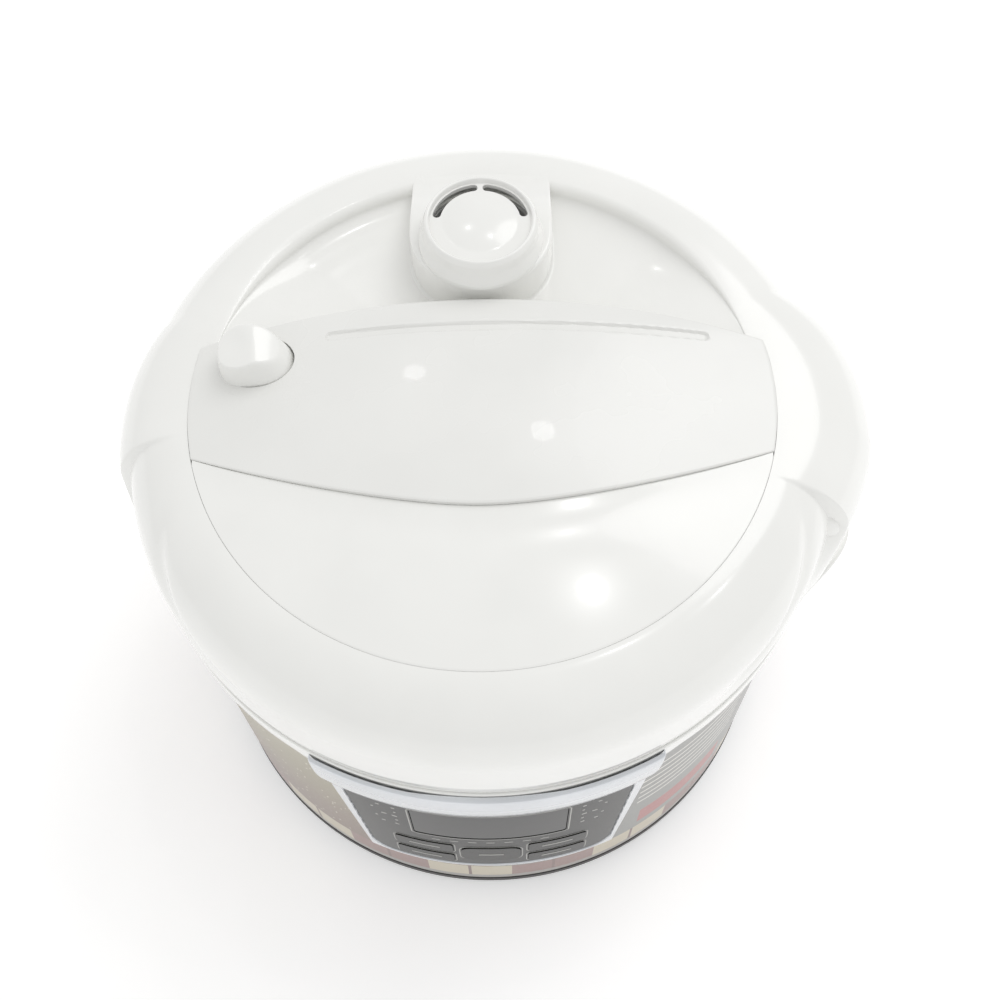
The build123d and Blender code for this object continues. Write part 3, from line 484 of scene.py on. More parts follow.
def lid_shell():
    """The lid's moulding, one closed skin round the axis.

    The section runs from under the bridge over the deck, up the recess wall or the panels' seat, over a
    quarter-circle shoulder and down the skirt, which steps in at a lip, then back up inside. Bearings move
    it: behind the bridge the recess wall is a quarter ellipse over a floor that rises towards the bridge's
    ends; at the ears the shoulder swells to a squarer one; a shallow valley runs from each bridge corner
    down to the skirt's front.
    """
    bearing = lid_bearings()[:, None]
    back = np.abs((bearing + 360) % 360 - 180)  # angle from straight back
    recess = step(79.4, 77.7, back)
    # Deck and wall.
    wall_r = 117.6
    floor_z = DECK_Z + 0.8 + 9.2 * step(44, 77, back)
    foot_wide = 22
    quarter = np.sin(np.linspace(0, np.pi / 2, 33))[1:]
    run = np.concatenate((np.linspace(0, 0.55, 14), 0.55 + 0.45 * quarter))[None, :]
    r_back = 30 + (wall_r - 30) * run
    u = np.clip((r_back - wall_r + foot_wide) / foot_wide, 0, 1)
    ease = 0.44 * (CROWN_Z - floor_z)
    z_back = floor_z + (CROWN_Z - ease - floor_z) * (1 - np.sqrt(np.maximum(1 - u * u, 0)))
    lip = np.linspace(0, np.pi / 2, 12)[None, 1:]
    r_lip, z_lip = wall_r + ease * (1 - np.cos(lip)), CROWN_Z - ease + ease * np.sin(lip)
    r_flat, z_flat = np.array([[123.2, 123.9]]), np.full((1, 2), CROWN_Z)
    back_r = np.concatenate([part + 0 * bearing for part in (r_back, r_lip, r_flat)], 1)
    back_z = np.concatenate([part + 0 * bearing for part in (z_back, z_lip, z_flat)], 1)
    count = back_r.shape[1]
    seat_r, seat_z = PARTING_R - 0.1, 256.8
    front_line = rounded([(30, DECK_Z - 0.5), (115, DECK_Z - 0.5), (115, seat_z), (seat_r, seat_z),
                          (seat_r, CROWN_Z - 0.02)], (0, 0.4, 0.4, 0.3, 0), 5, False)
    reach = np.concatenate(([0], np.cumsum(np.linalg.norm(np.diff(front_line, axis=0), axis=1))))
    even = np.linspace(0, reach[-1], count)
    front_r, front_z = (np.interp(even, reach, front_line[:, k])[None, :] for k in (0, 1))
    inner_r = front_r + (back_r - front_r) * recess
    inner_z = front_z + (back_z - front_z) * recess
    # Shoulder and skirt, outside.
    a = np.linspace(0.04, np.pi / 2, 40)[None, :]
    low_z = SKIRT_Z + 0.7
    lip_at = (SHOULDER_Z - LIP_Z) / (SHOULDER_Z - low_z)
    down = np.concatenate((np.linspace(0, 0.73, 16)[1:], lip_at + np.linspace(-0.016, 0.016, 5),
                           np.linspace(0.80, 1, 5)))[None, :]
    below_lip = np.clip((down - lip_at) / (1 - lip_at), 0, 1)
    lip_in = 0.55 * step(lip_at - 0.012, lip_at + 0.012, down) + 0.45 * below_lip
    line_z = np.concatenate((SHOULDER_Z + SHOULDER_R * np.cos(a),
                             SHOULDER_Z + (low_z - SHOULDER_Z) * down), 1)
    line_r = np.concatenate((PARTING_R + SHOULDER_R * np.sin(a), RIM_R + 0 * down), 1)
    outer_r, outer_z = line_r + 0 * bearing, line_z + 0 * bearing
    for side, (_, out, *_) in EARS.items():
        w = ear_amount(bearing, line_z, side)
        swell_r = np.concatenate((PARTING_R + (out - PARTING_R) * np.sin(a) ** 0.92,
                                  out - 1.2 * down**2), 1)
        swell_z = np.concatenate((SHOULDER_Z - 3 + (SHOULDER_R + 3) * np.cos(a) ** 0.86,
                                  SHOULDER_Z - 3 + (low_z - SHOULDER_Z + 3) * down), 1)
        outer_r = outer_r + w * (swell_r - line_r)
        outer_z = outer_z + w * (swell_z - line_z)
    # Valleys: s runs 0 at the parting line to 1 at the skirt's edge.
    s = np.linspace(0, 1, line_r.shape[1])[None, :]
    for sign in (1, -1):
        away = sign * bearing  # from the front towards this side
        path = 0.10 + 0.62 * step(78, 44, away)
        depth = 2.6 * step(78, 52, away) * step(36, 47, away)
        outer_r = outer_r - depth * np.exp(-(((s - path) / 0.07) ** 2))
    outer_r[:, a.shape[1]:] -= lip_in
    # Edge round and the way back up inside.
    r_edge = outer_r[:, -1:]
    turn = np.linspace(0, np.pi / 2, 6)[None, 1:]
    edge_r, edge_z = r_edge - 0.7 * (1 - np.cos(turn)), SKIRT_Z + 0.7 * (1 - np.sin(turn)) + 0 * r_edge
    wall = 2.2
    skirt_top = a.shape[1] - 1  # the last column of the shoulder
    inside = slice(outer_r.shape[1] - 1, skirt_top, -6)
    up_r = np.concatenate((r_edge - wall, outer_r[:, inside] - wall), 1)
    up_z = np.concatenate((SKIRT_Z + 0 * r_edge, outer_z[:, inside]), 1)
    arch = np.linspace(np.pi / 2, 0.05, 12)[None, :]
    span = outer_r[:, skirt_top:skirt_top + 1] - wall - 112
    arch_r, arch_z = 112 + span * np.sin(arch), SHOULDER_Z + (SHOULDER_R - 9.0) * np.cos(arch)
    base_r, base_z = np.array([[110.0, 30.0]]), np.array([[DECK_Z - 3.5, DECK_Z - 3.5]])
    flat = 0 * bearing
    r = np.concatenate((inner_r, outer_r, edge_r, up_r, arch_r, base_r + flat), 1)
    z = np.concatenate((inner_z, outer_z, edge_z, up_z, arch_z + flat, base_z + flat), 1)
    grid = on_circle(r, bearing, z)
    faces = grid_faces(*r.shape, True, True)
    return piece("lid_shell", grid, faces, "lid", "white_plastic", ("lid_cover",), 28)


def bridge_back(x):
    """The bridge's rear edge in plan: an arc that bows backwards."""
    return BRIDGE[1][1] - 18.6 * (np.abs(x) / 121.5) ** 2


def bridge_front(x):
    """The bridge's front edge in plan: a shallow V with a rounded point and slightly hollow sides."""
    far = np.abs(x) / 120.6
    return BRIDGE[0][1] + 26.0 * (0.62 * np.sqrt(far**2 + 0.035) - 0.116 + 0.495 * far**2.2)


def bridge_height(x, y):
    """The bridge's crown: a ball's cap, falling faster along Y near the rear edge."""
    return BRIDGE[1][2] - (x * x + y * y) / 1560 - 0.004 * np.maximum(y - 24, 0) ** 2


def lid_bridge():
    """The bridge's panel: a grid between its front and rear edges, with a long groove and the button's hole.

    Its edges turn over by a small round and run down to the deck.
    """
    n, m = 330, 170
    u = np.linspace(-1, 1, n)[:, None]
    v = np.linspace(0, 1, m)[None, :]
    edge_r = PARTING_R - 0.22
    bow = edge_r * np.cos(np.arcsin((-30.3 + 56.3 * v) / edge_r))
    x = u * bow
    y = bridge_front(x) + (bridge_back(x) - bridge_front(x)) * v
    centre, half = (BUTTON[0] + BUTTON[1]) / 2, (BUTTON[1] - BUTTON[0]) / 2 + 0.45

    def to_hole(px, py):
        return (np.hypot((px - centre[0]) / half[0], (py - centre[1]) / half[1]) - 1) * half[1]

    x, y, keep = cut_out(x, y, to_hole)
    groove_y = 28.4 - 3.2 * ((x - 12) / 84) ** 2
    across = np.hypot(y - groove_y, np.maximum(np.abs(x - 15.5) - 80.0, 0))
    z = bridge_height(x, y) - 1.3 * step(2.5, 1.5, across)
    # Distance in from the outline, for the rounded edge.
    inward = np.minimum(np.minimum(y - bridge_front(x), bridge_back(x) - y), edge_r - np.hypot(x, y))
    z = z - 0.35 * rolled(inward, 0.5)
    top = np.stack((x, y, z), -1)
    low = np.where(np.hypot(x, y) > 114.6, 257.9, DECK_Z + 0.7)
    under = np.stack((x, y, np.minimum(low, z - 1.5)), -1)
    return two_sided("bridge_panel", top, under, keep, "lid", "bridge_plastic", ("lid_bridge",), crease=40)


def lid_front_panel():
    """The crescent panel before the bridge: a ball's cap with a shallow trough along the bridge's edge."""
    n, m = 300, 120
    x = 119.9 * np.sin(np.linspace(-np.pi / 2, np.pi / 2, n))[:, None]
    v = np.linspace(0, 1, m)[None, :]
    edge_r = PARTING_R - 0.2
    far = -np.sqrt(edge_r**2 - x**2)
    near = bridge_front(x) - 0.14
    y = far + (near - far) * v
    x = x + 0 * v
    inward = np.minimum(near - y, edge_r - np.hypot(x, y))
    width = near - far
    z = 268.7 - (x * x + y * y) / 1946 - 0.8 * np.exp(-(((near - y - 9) / 9) ** 2)) * step(0, 30, width)
    z = z - 0.25 * rolled(inward, 0.4)
    top = np.stack((x, y, z), -1)
    under = np.stack((x, y, np.minimum(z - 2.4, 258.4)), -1)
    keep = np.ones((n - 1, m - 1), bool)
    return two_sided("front_panel", top, under, keep, "lid", "white_plastic", ("lid_front_panel",), crease=40)


def cap_pedestal():
    """The raised U under the steam cap: its outline carried up a flared foot and over a rounded edge.

    The outline is a half circle at the front with straight sides that run back into the rim, and the top ends
    at the cap's round well. Towards the back it sinks until it lies in the rim's shoulder.
    """
    mid_y, wide, back_y = 80.0, 31.9, 128.0
    t = np.linspace(0, np.pi, 121)
    front = np.stack((-wide * np.cos(t), mid_y - wide * np.sin(t)), -1)
    side = np.linspace(mid_y, back_y, 40)[1:]
    right = np.stack((np.full_like(side, wide), side), -1)
    across = np.linspace(wide, -wide, 40)[1:-1]
    rear = np.stack((across, back_y + 3.0 * (1 - (across / wide) ** 2)), -1)
    left = right[::-1] * (-1, 1)
    outline = np.concatenate((front, right, rear, left[:-1]))
    ahead, behind = np.roll(outline, -1, 0), np.roll(outline, 1, 0)
    along = ahead - behind
    normal = np.stack((along[:, 1], -along[:, 0]), -1) / np.linalg.norm(along, axis=1)[:, None]
    if ((outline - (0, 90)) * normal).sum() < 0:
        normal = -normal
    quarter = np.linspace(0, np.pi / 2, 8)
    top_z, flare, edge = CAP[0][2] + 12.4, 1.5, 1.4
    out = np.concatenate(([1.6], flare * (1 - np.sin(quarter)), -edge * (1 - np.cos(quarter)), [-2.2]))
    level = np.concatenate(([DECK_Z - 3], DECK_Z + 0.9 + flare * (1 - np.cos(quarter)),
                            top_z - edge + edge * np.sin(quarter), [top_z]))
    skirt = outline[:, None, :] + normal[:, None, :] * out[None, :, None]
    centre = ((CAP[0] + CAP[1]) / 2)[:2]
    away = outline - centre
    well = centre + 26.2 * away / np.linalg.norm(away, axis=1)[:, None]
    share = np.linspace(0, 1, 9)[None, 1:, None]
    flat = skirt[:, -1:, :] + (well[:, None, :] - skirt[:, -1:, :]) * share
    ring = np.concatenate((skirt, flat), 1)
    height = np.concatenate((level, np.full(8, top_z)))[None, :] + 0 * ring[..., 0]
    sink = (top_z - CROWN_Z - 0.03) * step(84, 118, ring[..., 1]) + 3.2 * step(121.5, 129, ring[..., 1])
    height = height - sink * np.clip((height - DECK_Z - 3.3) / (top_z - DECK_Z - 3.3), 0, 1)
    floor = np.stack((well, well, skirt[:, 0, :]), 1)
    low = np.broadcast_to([top_z - 9.0, DECK_Z - 3.0, DECK_Z - 3.0], floor.shape[:2])
    grid = np.concatenate((np.dstack((ring, height)), np.dstack((floor, low))), 1)
    faces = grid_faces(*grid.shape[:2], True, True)
    return piece("cap_pedestal", grid, faces, "lid", "white_plastic", (), 40)


def steam_cap():
    """The steam cap: a flared wall under a raised lip, a dished ring with two slots, and a low dome."""
    (cx, cy, _), radius, top = (CAP[0] + CAP[1]) / 2, (CAP[1][0] - CAP[0][0]) / 2, CAP[1][2]
    slot_r, slot_half, dome_r, ring_z = 19.5, 1.8, 16.5, top - 2.3
    dome = np.linspace(0, dome_r, 14)
    wall = rounded([(dome_r, ring_z), (21.9, ring_z), (22.8, top), (24.0, top), (25.2, top - 2.6),
                    (25.8, top - 7), (radius, top - 12.2), (radius, CAP[0][2] + 12.3)],
                   (0, 0.7, 0.9, 1.2, 1.5, 8, 0.8, 0), 7, False)
    length = np.concatenate(([0], np.cumsum(np.linalg.norm(np.diff(wall, axis=0), axis=1))))
    even = np.linspace(0, length[-1], 84)
    wall_r, wall_z = (np.interp(even, length, wall[:, k]) for k in (0, 1))
    r = np.concatenate((dome, wall_r[1:]))
    z = np.concatenate((top - 0.4 - 1.9 * (dome / dome_r) ** 2, wall_z[1:]))
    n = 360
    angle = np.linspace(0, 360, n + 1)[:, None] + 0 * r[None, :]
    reach = r[None, :] + 0 * angle

    def to_slot(px, py):
        off = np.abs(np.abs((px - 90 + 180) % 360 - 180) - 42.5)
        over = np.maximum(off - 34.0, 0) * slot_r * np.pi / 180
        return np.hypot(over, py - slot_r) - slot_half

    angle, reach, keep = cut_out(angle, reach, to_slot)
    angle, reach = angle[:-1], reach[:-1]
    level = np.where(np.abs(reach - slot_r) < 2.6, ring_z, z[None, :])
    a = np.radians(angle)
    top_grid = np.stack((cx + reach * np.cos(a), cy + reach * np.sin(a), level), -1)
    thin = reach - np.clip(reach - 21.6, 0, 1.6)
    inner_z = np.where(reach <= 22.0, level - 2.0, np.minimum(level, top - 4.0))
    under = np.stack((cx + thin * np.cos(a), cy + thin * np.sin(a), inner_z), -1)
    return two_sided("steam_cap_shell", top_grid, under, keep, "steam_cap", "white_plastic",
                     ("steam_cap",), True)


def cap_socket():
    """The plain sleeve that plugs the cap into its well, with rounded ends."""
    (cx, cy, _) = (CAP[0] + CAP[1]) / 2
    low = CAP[0][2]
    lathe("steam_cap_sleeve", [(23.2, low), (24.8, low), (24.8, low + 14.5), (23.2, low + 14.5)], "steam_cap",
          "white_plastic", (), 0.4, (cx, cy), 160)


def release_button():
    """The release button: a rounded-oval plug whose top falls gently to the right and has a dished facet.

    Height is the soft minimum of a wall that is steep at the front and left and easy to the right, a tilted
    plane with a shallow bowl in it, and a slope that falls ever faster to the right.
    """
    (cx, cy, _), (hx, hy, _) = (BUTTON[0] + BUTTON[1]) / 2, (BUTTON[1] - BUTTON[0]) / 2
    top = BUTTON[1][2]
    n = 200
    theta = np.linspace(0, 2 * np.pi, n, endpoint=False)[:, None]
    rho = np.concatenate((np.linspace(0, 0.8, 30), np.linspace(0.8, 1, 26)[1:]))[None, :]
    power = 2.5
    unit = (np.abs(np.cos(theta)) ** power + np.abs(np.sin(theta)) ** power) ** (-1 / power)
    u, v = rho * unit * np.cos(theta), rho * unit * np.sin(theta)
    x, y = cx + hx * u, cy + hy * v
    base = 262.5
    right = step(-0.35, 0.8, u)
    sharp = 7.0 - 4.6 * right
    wall = base + (top - base + 2.0) * (1 - rho**sharp) ** (0.62 + 0.3 * right)
    facet = top - 0.6 + 0.30 * (x - cx + 1.0) + 0.13 * (y - cy)
    bowl = 0.9 * np.exp(-(((x - cx + 6.5) / 6.5) ** 2 + ((y - cy - 1.5) / 6.0) ** 2))
    ease = top - 0.4 - 0.30 * np.maximum(x - cx - 0.5, 0) - 0.016 * np.maximum(x - cx, 0) ** 2
    z = soft_min(soft_min(wall, facet - bowl, 1.4), ease, 1.2)
    z = np.minimum(z, top)
    rim = np.stack((x[:, -1:], y[:, -1:]), -1)
    z[:, -1] = base
    down = np.dstack((np.repeat(rim, 3, 1), np.broadcast_to([[base - 2.0, base - 6.4, base - 6.5]], (n, 3))))
    pole = np.broadcast_to(np.array([[[cx, cy, base - 6.5]]]), (n, 1, 3))
    grid = np.concatenate((np.stack((x, y, z), -1), down, pole), 1)
    faces = grid_faces(n, grid.shape[1], True, False)
    piece("release_button_cap", grid, faces, "release_button", "white_plastic", ("release_button",), 50)
    stem_z = BUTTON[0][2]
    line = [(0, stem_z), (4, stem_z), (4, base - 6), (0, base - 6)]
    lathe("release_button_stem", line, "release_button", "black_plastic", (), 0.5, (cx, cy), 48, False)


# Body


def panel_half(z):
    """Half the bearing that the control panel's tapered outline spans at a height."""
    share = (z - FRAME_BOX[0][2]) / (FRAME_BOX[1][2] - FRAME_BOX[0][2])
    return np.degrees(np.arcsin((62.3 + 12.7 * share) / (FACE_R + 1.0)))


def overlay_half(z):
    """Half the overlay's width along its face at a height."""
    share = (z - OVERLAY[0][2]) / (OVERLAY[1][2] - OVERLAY[0][2])
    return FACE_R * np.arcsin((58.6 + 6.3 * share) / FACE_R)


def to_overlay(arc, z):
    """Distance outside the overlay's outline, negative inside; only its lower corners are round."""
    low, high = OVERLAY[0][2], OVERLAY[1][2]
    corner = np.where(z < (low + high) / 2, 10.0, 0.0)
    x, y = np.abs(arc) - overlay_half(z) + corner, np.maximum(low - z, z - high) + corner
    return np.hypot(np.maximum(x, 0), np.maximum(y, 0)) + np.minimum(np.maximum(x, y), 0) - corner


def key_box(name):
    """A key's centre bearing and half width, in degrees, and its two heights."""
    low, high = corners(name)
    bearing = {"left": -12.0, "right": 12.0}.get(name.split("_")[-1], 0.0)
    half = 5.3 if name == "key_start" else 5.2
    return bearing, half, low[2], high[2]


def to_openings(arc, z, grow):
    """Distance to the nearest of the window's and the keys' openings on the unrolled panel, each grown."""
    half = WINDOW_HALF * FACE_ARC + grow
    nearest = round_box(arc, z, -half, half, WINDOW[0][2] - grow, WINDOW[1][2] + grow, 2.0)
    for name in KEYS:
        bearing, half, low, high = key_box(name)
        corner = 6.2 if name == "key_start" else 2.2
        gap = round_box(arc, z, (bearing - half) * FACE_ARC - grow, (bearing + half) * FACE_ARC + grow,
                        low - grow, high + grow, corner)
        nearest = np.minimum(nearest, gap)
    return nearest


def panel_frame():
    """The silver housing of the control panel on its tapered outline.

    Its face bulges out above the overlay as sin(0.72 pi t) to the power 0.8, where t runs from 0 at the
    overlay to 1 at the top; it is sunk where the overlay lies and rolls over at every edge.
    """
    low, high = FRAME_BOX[0][2], FRAME_BOX[1][2]
    face_top = OVERLAY[1][2]
    head = face_top + 0.8
    rows = (np.linspace(low, face_top - 0.6, 166), np.linspace(face_top - 0.5, head, 14),
            np.linspace(head, high, 71)[1:])
    z = np.concatenate(rows)[None, :]
    u = np.sin(np.linspace(-1.35, 1.35, 300))[:, None] / np.sin(1.35)
    arc = u * panel_half(z) * FACE_ARC
    z = z + 0 * u
    arc, z, keep = cut_out(arc, z, lambda p, q: to_openings(p, q, 0.3))
    bulge = 3.5 * np.sin(0.72 * np.pi * np.clip((z - head) / (high - head), 0, 1)) ** 0.8
    seat = to_overlay(arc, z)
    r = FACE_R + 0.5 + bulge - 2.2 * step(0.4, -0.1, seat)
    bearing = arc / FACE_ARC
    edge = np.minimum(z - low, (panel_half(z) - np.abs(bearing)) * FACE_ARC)
    r = r - 2.4 * rolled(edge, 2.2) - 1.2 * rolled(high - z, 1.6)
    gap = 0.3 + 1.5 * step(4, 20, np.abs(bearing))
    inner = np.where(z > 182.4, COLLAR_R + gap, SHELL_R + 0.35)  # the collar starts a little higher
    top, under = on_circle(r, bearing, z), on_circle(np.minimum(inner, r - 0.5), bearing, z)
    two_sided("panel_frame", top, under, keep, "base", "silver_plastic", ("control_housing",), crease=34)


def panel_face():
    """The smoked overlay with openings for the window and the keys, its rim eased by a quarter circle."""
    z = np.linspace(OVERLAY[0][2] + 0.1, OVERLAY[1][2] - 0.1, 210)[None, :]
    arc = np.linspace(-1, 1, 300)[:, None] * (overlay_half(z) - 0.1)
    z = z + 0 * arc
    arc, z, keep = cut_out(arc, z, lambda p, q: np.minimum(to_openings(p, q, 0.15), -to_overlay(p, q)))
    rim = -to_overlay(arc, z)
    r = FACE_R + 0.1 - 0.35 * rolled(rim, 0.8)
    top, under = on_circle(r, arc / FACE_ARC, z), on_circle(FACE_R - 1.25, arc / FACE_ARC, z)
    two_sided("panel_face", top, under, keep, "base", "panel_gloss", ("panel_overlay",), crease=34)


def printed_line(loops, name, body, radius, thick=0.12):
    """Printed strokes on the panel: each loop of (arc, height) points is carried as a flat ribbon."""
    points, faces, count = [], [], 0
    for path, width, closed in loops:
        path = np.asarray(path, float)
        ahead, behind = np.roll(path, -1, 0), np.roll(path, 1, 0)
        if not closed:
            ahead[-1], behind[0] = path[-1], path[0]
        along = ahead - behind
        side = np.stack((-along[:, 1], along[:, 0]), -1) / np.linalg.norm(along, axis=1)[:, None] * width / 2
        section = []
        for across, lift in ((-1, 0), (1, 0), (1, thick), (-1, thick)):
            p = path + side * across
            section.append(on_circle(radius + lift, p[:, 0] / radius * 180 / np.pi, p[:, 1]))
        grid = np.stack(section, 1)
        k = len(path)
        quads = grid_faces(k, 4, closed, True)
        if not closed:
            quads = np.concatenate((quads, [[0, 1, 2, 3]], [[4 * k - 1, 4 * k - 2, 4 * k - 3, 4 * k - 4]]))
        points.append(grid.reshape(-1, 3))
        faces.append(quads + count)
        count += 4 * k
    return piece(name, np.concatenate(points), np.concatenate(faces), body, "print")


def panel_prints():
    """Pale outlines round the window and keys, with plain bars where a panel has its captions."""
    loops = []

    def outline(a0, a1, z0, z1, corner, width):
        box = [(a0, z0), (a1, z0), (a1, z1), (a0, z1)]
        path = rounded(box, corner, 8)
        dense = []
        for p, q in zip(path, np.roll(path, -1, 0)):
            pieces = max(1, int(np.linalg.norm(q - p) / 3))
            dense += [p + (q - p) * k / pieces for k in range(pieces)]
        loops.append((dense, width, True))

    half = WINDOW_HALF * FACE_ARC + 1.2
    outline(-half, half, WINDOW[0][2] - 1.2, WINDOW[1][2] + 1.2, 3.0, 0.6)
    for name in KEYS:
        bearing, half, low, high = key_box(name)
        corner = 7.0 if name == "key_start" else 3.0
        outline((bearing - half) * FACE_ARC - 1.0, (bearing + half) * FACE_ARC + 1.0, low - 1.0, high + 1.0,
                corner, 0.45)
    for sign in (-1, 1):
        for row in range(5):
            long = (9.0, 12.0, 7.5, 11.0, 8.5)[row]
            start = sign * 42.5
            z = WINDOW[1][2] - 4 - 7.0 * row
            loops.append(([(start, z), (start + sign * long, z)], 1.5, False))
    for k in range(7):
        arc = (k - 3) * 8.6
        loops.append(([(arc - 2.0, 110.0), (arc + 2.0, 110.0)], 1.0, False))
    printed_line(loops, "panel_prints", "base", FACE_R + 0.02)


def key_prints():
    """A short bar on each key's face, riding with the key."""
    for name in KEYS:
        bearing, _, low, high = key_box(name)
        along, middle, long = bearing * FACE_ARC, (low + high) / 2, 6.0 if name == "key_start" else 7.5
        path = [(along - long, middle), (along, middle), (along + long, middle)]
        printed_line([(path, 1.4, False)], name + "_mark", name, FACE_R + 0.58)


def body_wrap():
    """The printed film: a thin sleeve with the panel's outline, the cup's bracket and the inlet cut out."""
    low = FRAME_BOX[0][2] - 1.0
    bearing = np.linspace(-180, 180, 721)[:, None]
    z = np.linspace(FILM[0][2], FILM[1][2], 110)[None, :]

    def to_panel(arc, up):
        return np.maximum(np.abs(arc) - (panel_half(up) + 0.6) * SHELL_ARC, low - up)

    arc, z, keep = cut_out(bearing * SHELL_ARC + 0 * z, z + 0 * bearing, to_panel)
    bearing = arc / SHELL_ARC
    back = 180 - np.abs(bearing)
    bracket = (back < 12.6) & (z > 113.5) & (z < 167)
    inlet = (back < 6.2) & (z > 33) & (z < 57)
    keep &= ~(bracket | inlet)[:-1, :-1]
    bearing, z = bearing[:-1], z[:-1]
    top, under = on_circle(SHELL_R + 0.25, bearing, z), on_circle(SHELL_R + 0.01, bearing, z)
    two_sided("body_wrap", top, under, keep, "base", "film", ("printed_film",), True)


def body_rings():
    """The turned parts of the body's outside: shell, trims, base and foot."""
    shell = corners("outer_shell")
    lathe("body_shell", [(SHELL_R - 0.6, shell[0][2]), (SHELL_R, shell[0][2]), (SHELL_R, shell[1][2]),
                         (SHELL_R - 0.6, shell[1][2])],
          "base", "shell_steel", ("outer_shell",), 0.2, turns=360)
    outer = TRIM[1][0]
    lathe("neck_trim", [(148.5, TRIM[0][2]), (outer - 0.4, TRIM[0][2]), (outer, TRIM[0][2] + 1.2),
                        (outer, TRIM[1][2]), (148.5, TRIM[1][2])],
          "base", "silver_plastic", ("trim_ring",), 0.7, turns=360)
    base = corners("base_housing")
    out = base[1][0]
    lathe("base_shell", [(60, 3.5), (out - 9, 3.5), (out - 2.2, 5.6), (out, 10), (out, 15.5),
                         (out - 1.4, 15.5), (out - 1.4, base[1][2]), (out - 3.9, base[1][2]),
                         (out - 3.9, 13), (out - 9, 6.5), (60, 6.5)],
          "base", "dark_plastic", ("base_housing",), (0.3, 3, 4, 2, 0.5, 0.3, 0.4, 0.4, 2, 2, 0.3), turns=360)
    foot = corners("foot_ring")
    lathe("foot", [(118, 0), (foot[1][0], 0), (foot[1][0], 3.5), (118, 3.5)],
          "base", "dark_plastic", ("foot_ring",), (1.2, 1.2, 0.2, 0.2))


def handle_amount(bearing, side):
    """How far a body handle stands out under its ear: like the ear, with a long easy taper at the front."""
    _, _, back, front, _ = EARS[side]
    angle = past_middle(bearing, side)
    return ease_behind(angle, back) * step(front - 10.0, front + 7.0, angle)


def neck_ring():
    """The white ring between body and lid with the two handles grown out of it.

    The section is a flat top, a face and an inner channel; each handle pushes the face outwards by its
    reach, most at the top, so that it leans in as it goes down. The lower edge dips at both ends of the
    panel's head.
    """
    low, high = 186.5, BODY_TOP
    line = rounded([(119.4, 188), (121, 188), (121, 180.5), (133, 180.5), (133, high), (COLLAR_R, high),
                    (COLLAR_R, low), (151.7, low), (151.7, 193.5), (136, 193.5), (136, 177.5),
                    (119.4, 177.5)], (0.3, 0.3, 1, 1, 0.8, 1.2, 0.6, 0.3, 0.5, 0.5, 0.5, 0.5), 6)
    bearing = np.concatenate((np.arange(-180, -36, 0.9), np.arange(-36, 36, 0.3), np.arange(36, 180, 0.9)))
    bearing = bearing[:, None]
    r, z = line[None, :, 0] + 0 * bearing, line[None, :, 1] + 0 * bearing
    face = step(152.4, COLLAR_R - 0.2, line[None, :, 0])
    away = np.abs(bearing)
    dip = 2.5 * step(33, 29, away) * step(28.5, 28.9, away)
    z = z - dip * step(low + 5, low, line[None, :, 1]) * step(150, 151.5, line[None, :, 0])
    for side, (_, out, *_) in EARS.items():
        w = handle_amount(bearing, side)
        lean = step(low, high - 1.5, line[None, :, 1])
        r = r + w * face * (out - 1.5 - COLLAR_R) * (0.45 + 0.55 * lean)
        z = z - w * face * (1 - lean) * 5.5
    faces = grid_faces(*r.shape, True, True)
    piece("neck_ring", on_circle(r, bearing, z), faces, "base", "white_plastic", ("upper_ring",), 34)


# Inside


def inside_pieces():
    """The turned parts seen with the lid off or the cap out: pot, seals, liner and pressure weight."""
    low, high = POT[0][2], POT[1][2]
    rim = POT[1][0]
    lathe("cooking_pot", [(0, low + 2.2), (112.0, low + 2.2), (112.0, high), (rim, high), (rim, high - 1.3),
                          (113.6, high - 1.3), (113.6, low), (0, low)],
          "pot", "pot", ("inner_pot",), (0, 14, 1.4, 0.5, 0.5, 1.2, 15, 0), closed=False, turns=320)
    seal = corners("sealing_ring")
    out = seal[1][0]
    lathe("lid_seal", [(108, 194.1), (out - 0.5, 194.1), (out, 196), (out - 2.5, 199.5), (out, 204),
                       (out - 1, 206.6), (108, 206.6), (106.5, 204.8), (113, 203), (113, 200.2),
                       (112.7, 200.2), (112.7, 198.8), (113, 198.8), (113, 197), (106.5, 195.6)],
          "inner_lid", "silicone", ("sealing_ring",),
          (0.6, 0.6, 0.8, 1.2, 0.8, 0.6, 0.6, 0.6, 0.6, 0, 0, 0, 0, 0.6, 0.6))
    lathe("plate_grommet", [(3.05, 194.6), (12, 194.6), (13.5, 196.5), (13.5, 199), (4.0, 199),
                            (4.0, 200), (8.5, 200), (7, 205), (3.05, 205)],
          "inner_lid", "silicone", ("inner_lid_grommet",), 0.5, turns=96)
    lathe("rim_liner", [(131.5, 200), (151.7, 200), (151.7, 202.5), (134.5, 202.5), (134.5, 226),
                        (131.5, 226)], "lid", "liner_plastic", ("lid_liner",))
    weight = corners("weight_valve")
    x, y, _ = (weight[0] + weight[1]) / 2
    low, high = weight[0][2], weight[1][2]
    lathe("pressure_weight", [(0, high - 11.7), (5.5, high - 11.7), (5.5, low), (7.5, low), (7.5, low + 17.5),
                              (9, low + 17.5), (9, high - 8), (7.6, high - 7), (7.6, high - 5.5),
                              (9, high - 4.5), (9, high), (0, high)],
          "weight_valve", "black_plastic", ("weight_valve",), 0.6, (x, y), 96, False)


# Floor, light and camera


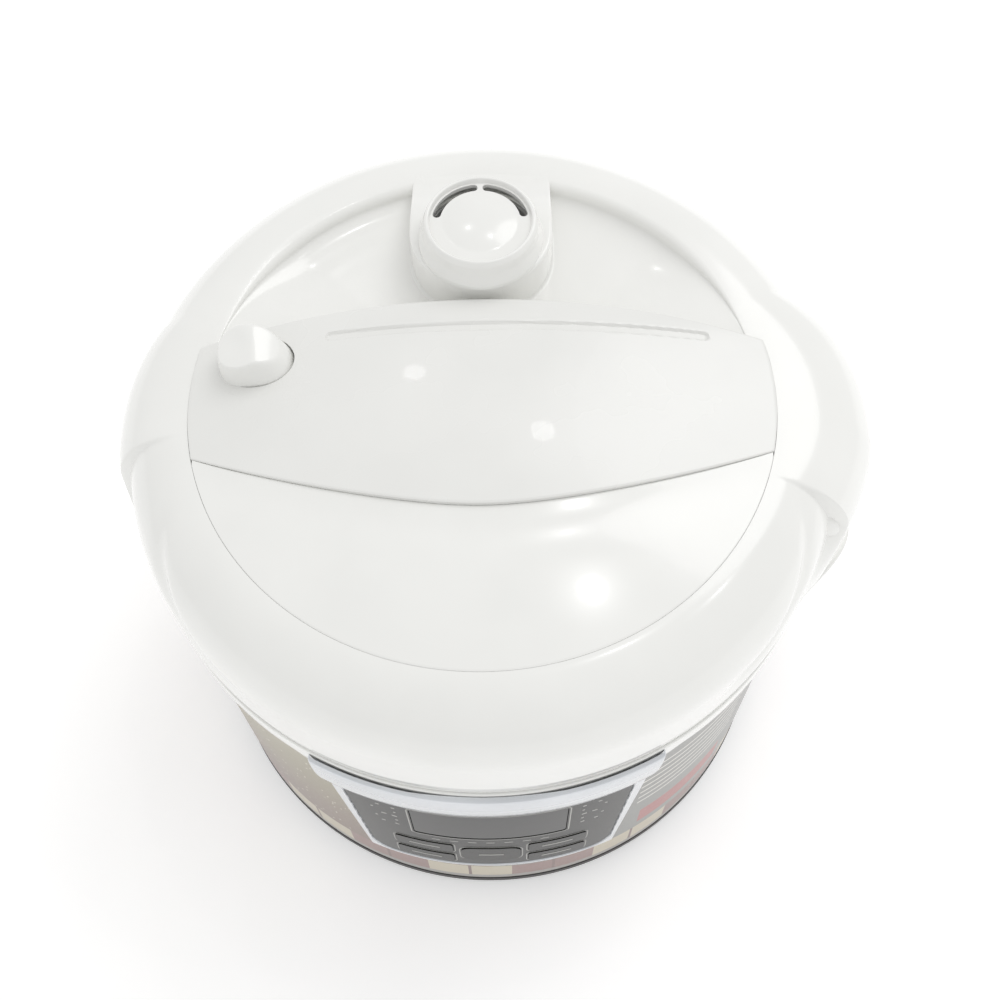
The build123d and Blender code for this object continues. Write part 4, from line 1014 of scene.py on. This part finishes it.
def floor():
    """A wide flat pale floor, its shade drifting slightly."""
    made, tree, shader, place = surface("matt_white_floor", Roughness=0.85, Specular_IOR_Level=0.2)
    mottled(tree, shader, place, "#F4F4F4", "#F8F8F8", 300.0)
    shader.inputs["Emission Color"].default_value = (1, 1, 1, 1)
    shader.inputs["Emission Strength"].default_value = 0.3
    mesh = bpy.data.meshes.new("floor")
    size = 6.0
    square = [(-size, -size, 0), (size, -size, 0), (size, size, 0), (-size, size, 0)]
    mesh.from_pydata(square, [], [(0, 1, 2, 3)])
    mesh.materials.append(made)
    made = bpy.data.objects.new("floor", mesh)
    bpy.context.scene.collection.objects.link(made)


def lamp(name, place, power, size, aim=(0, 0, 0.2), shape="DISK"):
    """An area lamp that faces a point."""
    light = bpy.data.lights.new(name, "AREA")
    light.shape, light.size, light.energy = shape, size, power
    made = bpy.data.objects.new(name, light)
    made.location = place
    made.rotation_euler = (Vector(aim) - Vector(place)).to_track_quat("-Z", "Y").to_euler()
    bpy.context.scene.collection.objects.link(made)


def lights():
    """A bright even room, a large soft key from the back right, and four small ceiling lamps."""
    world = bpy.data.worlds.new("room")
    world.use_nodes = True
    back = world.node_tree.nodes["Background"]
    back.inputs["Color"].default_value = (1, 1, 1, 1)
    back.inputs["Strength"].default_value = 0.78
    bpy.context.scene.world = world
    lamp("key", (1.1, 1.2, 2.4), 13, 1.5)
    for i, (x, y) in enumerate(((0.25, 1.18), (0.4, 0.45), (1.17, 0.29), (-0.4, 1.6))):
        lamp(f"ceiling_{i}", (x, y, 2.6), 0.8, 0.12, (x, y, 0))


def camera():
    """The view from close above the front, turned a little."""
    eye = Vector((0.00983, -0.29378, 0.72177))
    target = Vector((0.00727, -0.06117, 0.28))
    away = (eye - target).normalized()
    right = Vector((0, 0, 1)).cross(away).normalized()
    up = away.cross(right)
    roll = np.radians(-1.35)
    right, up = right * np.cos(roll) + up * np.sin(roll), up * np.cos(roll) - right * np.sin(roll)
    data = bpy.data.cameras.new("camera")
    data.sensor_width, data.lens = 36.0, 46.3
    data.clip_start = 0.02
    made = bpy.data.objects.new("camera", data)
    made.matrix_world = Matrix((right, up, away)).transposed().to_4x4()
    made.location = eye
    bpy.context.scene.collection.objects.link(made)
    bpy.context.scene.camera = made


lid_shell()
lid_bridge()
lid_front_panel()
cap_pedestal()
steam_cap()
cap_socket()
release_button()
panel_frame()
panel_face()
panel_prints()
key_prints()
body_wrap()
body_rings()
neck_ring()
inside_pieces()
floor()
lights()
camera()

bpy.context.scene.view_settings.view_transform = "Standard"
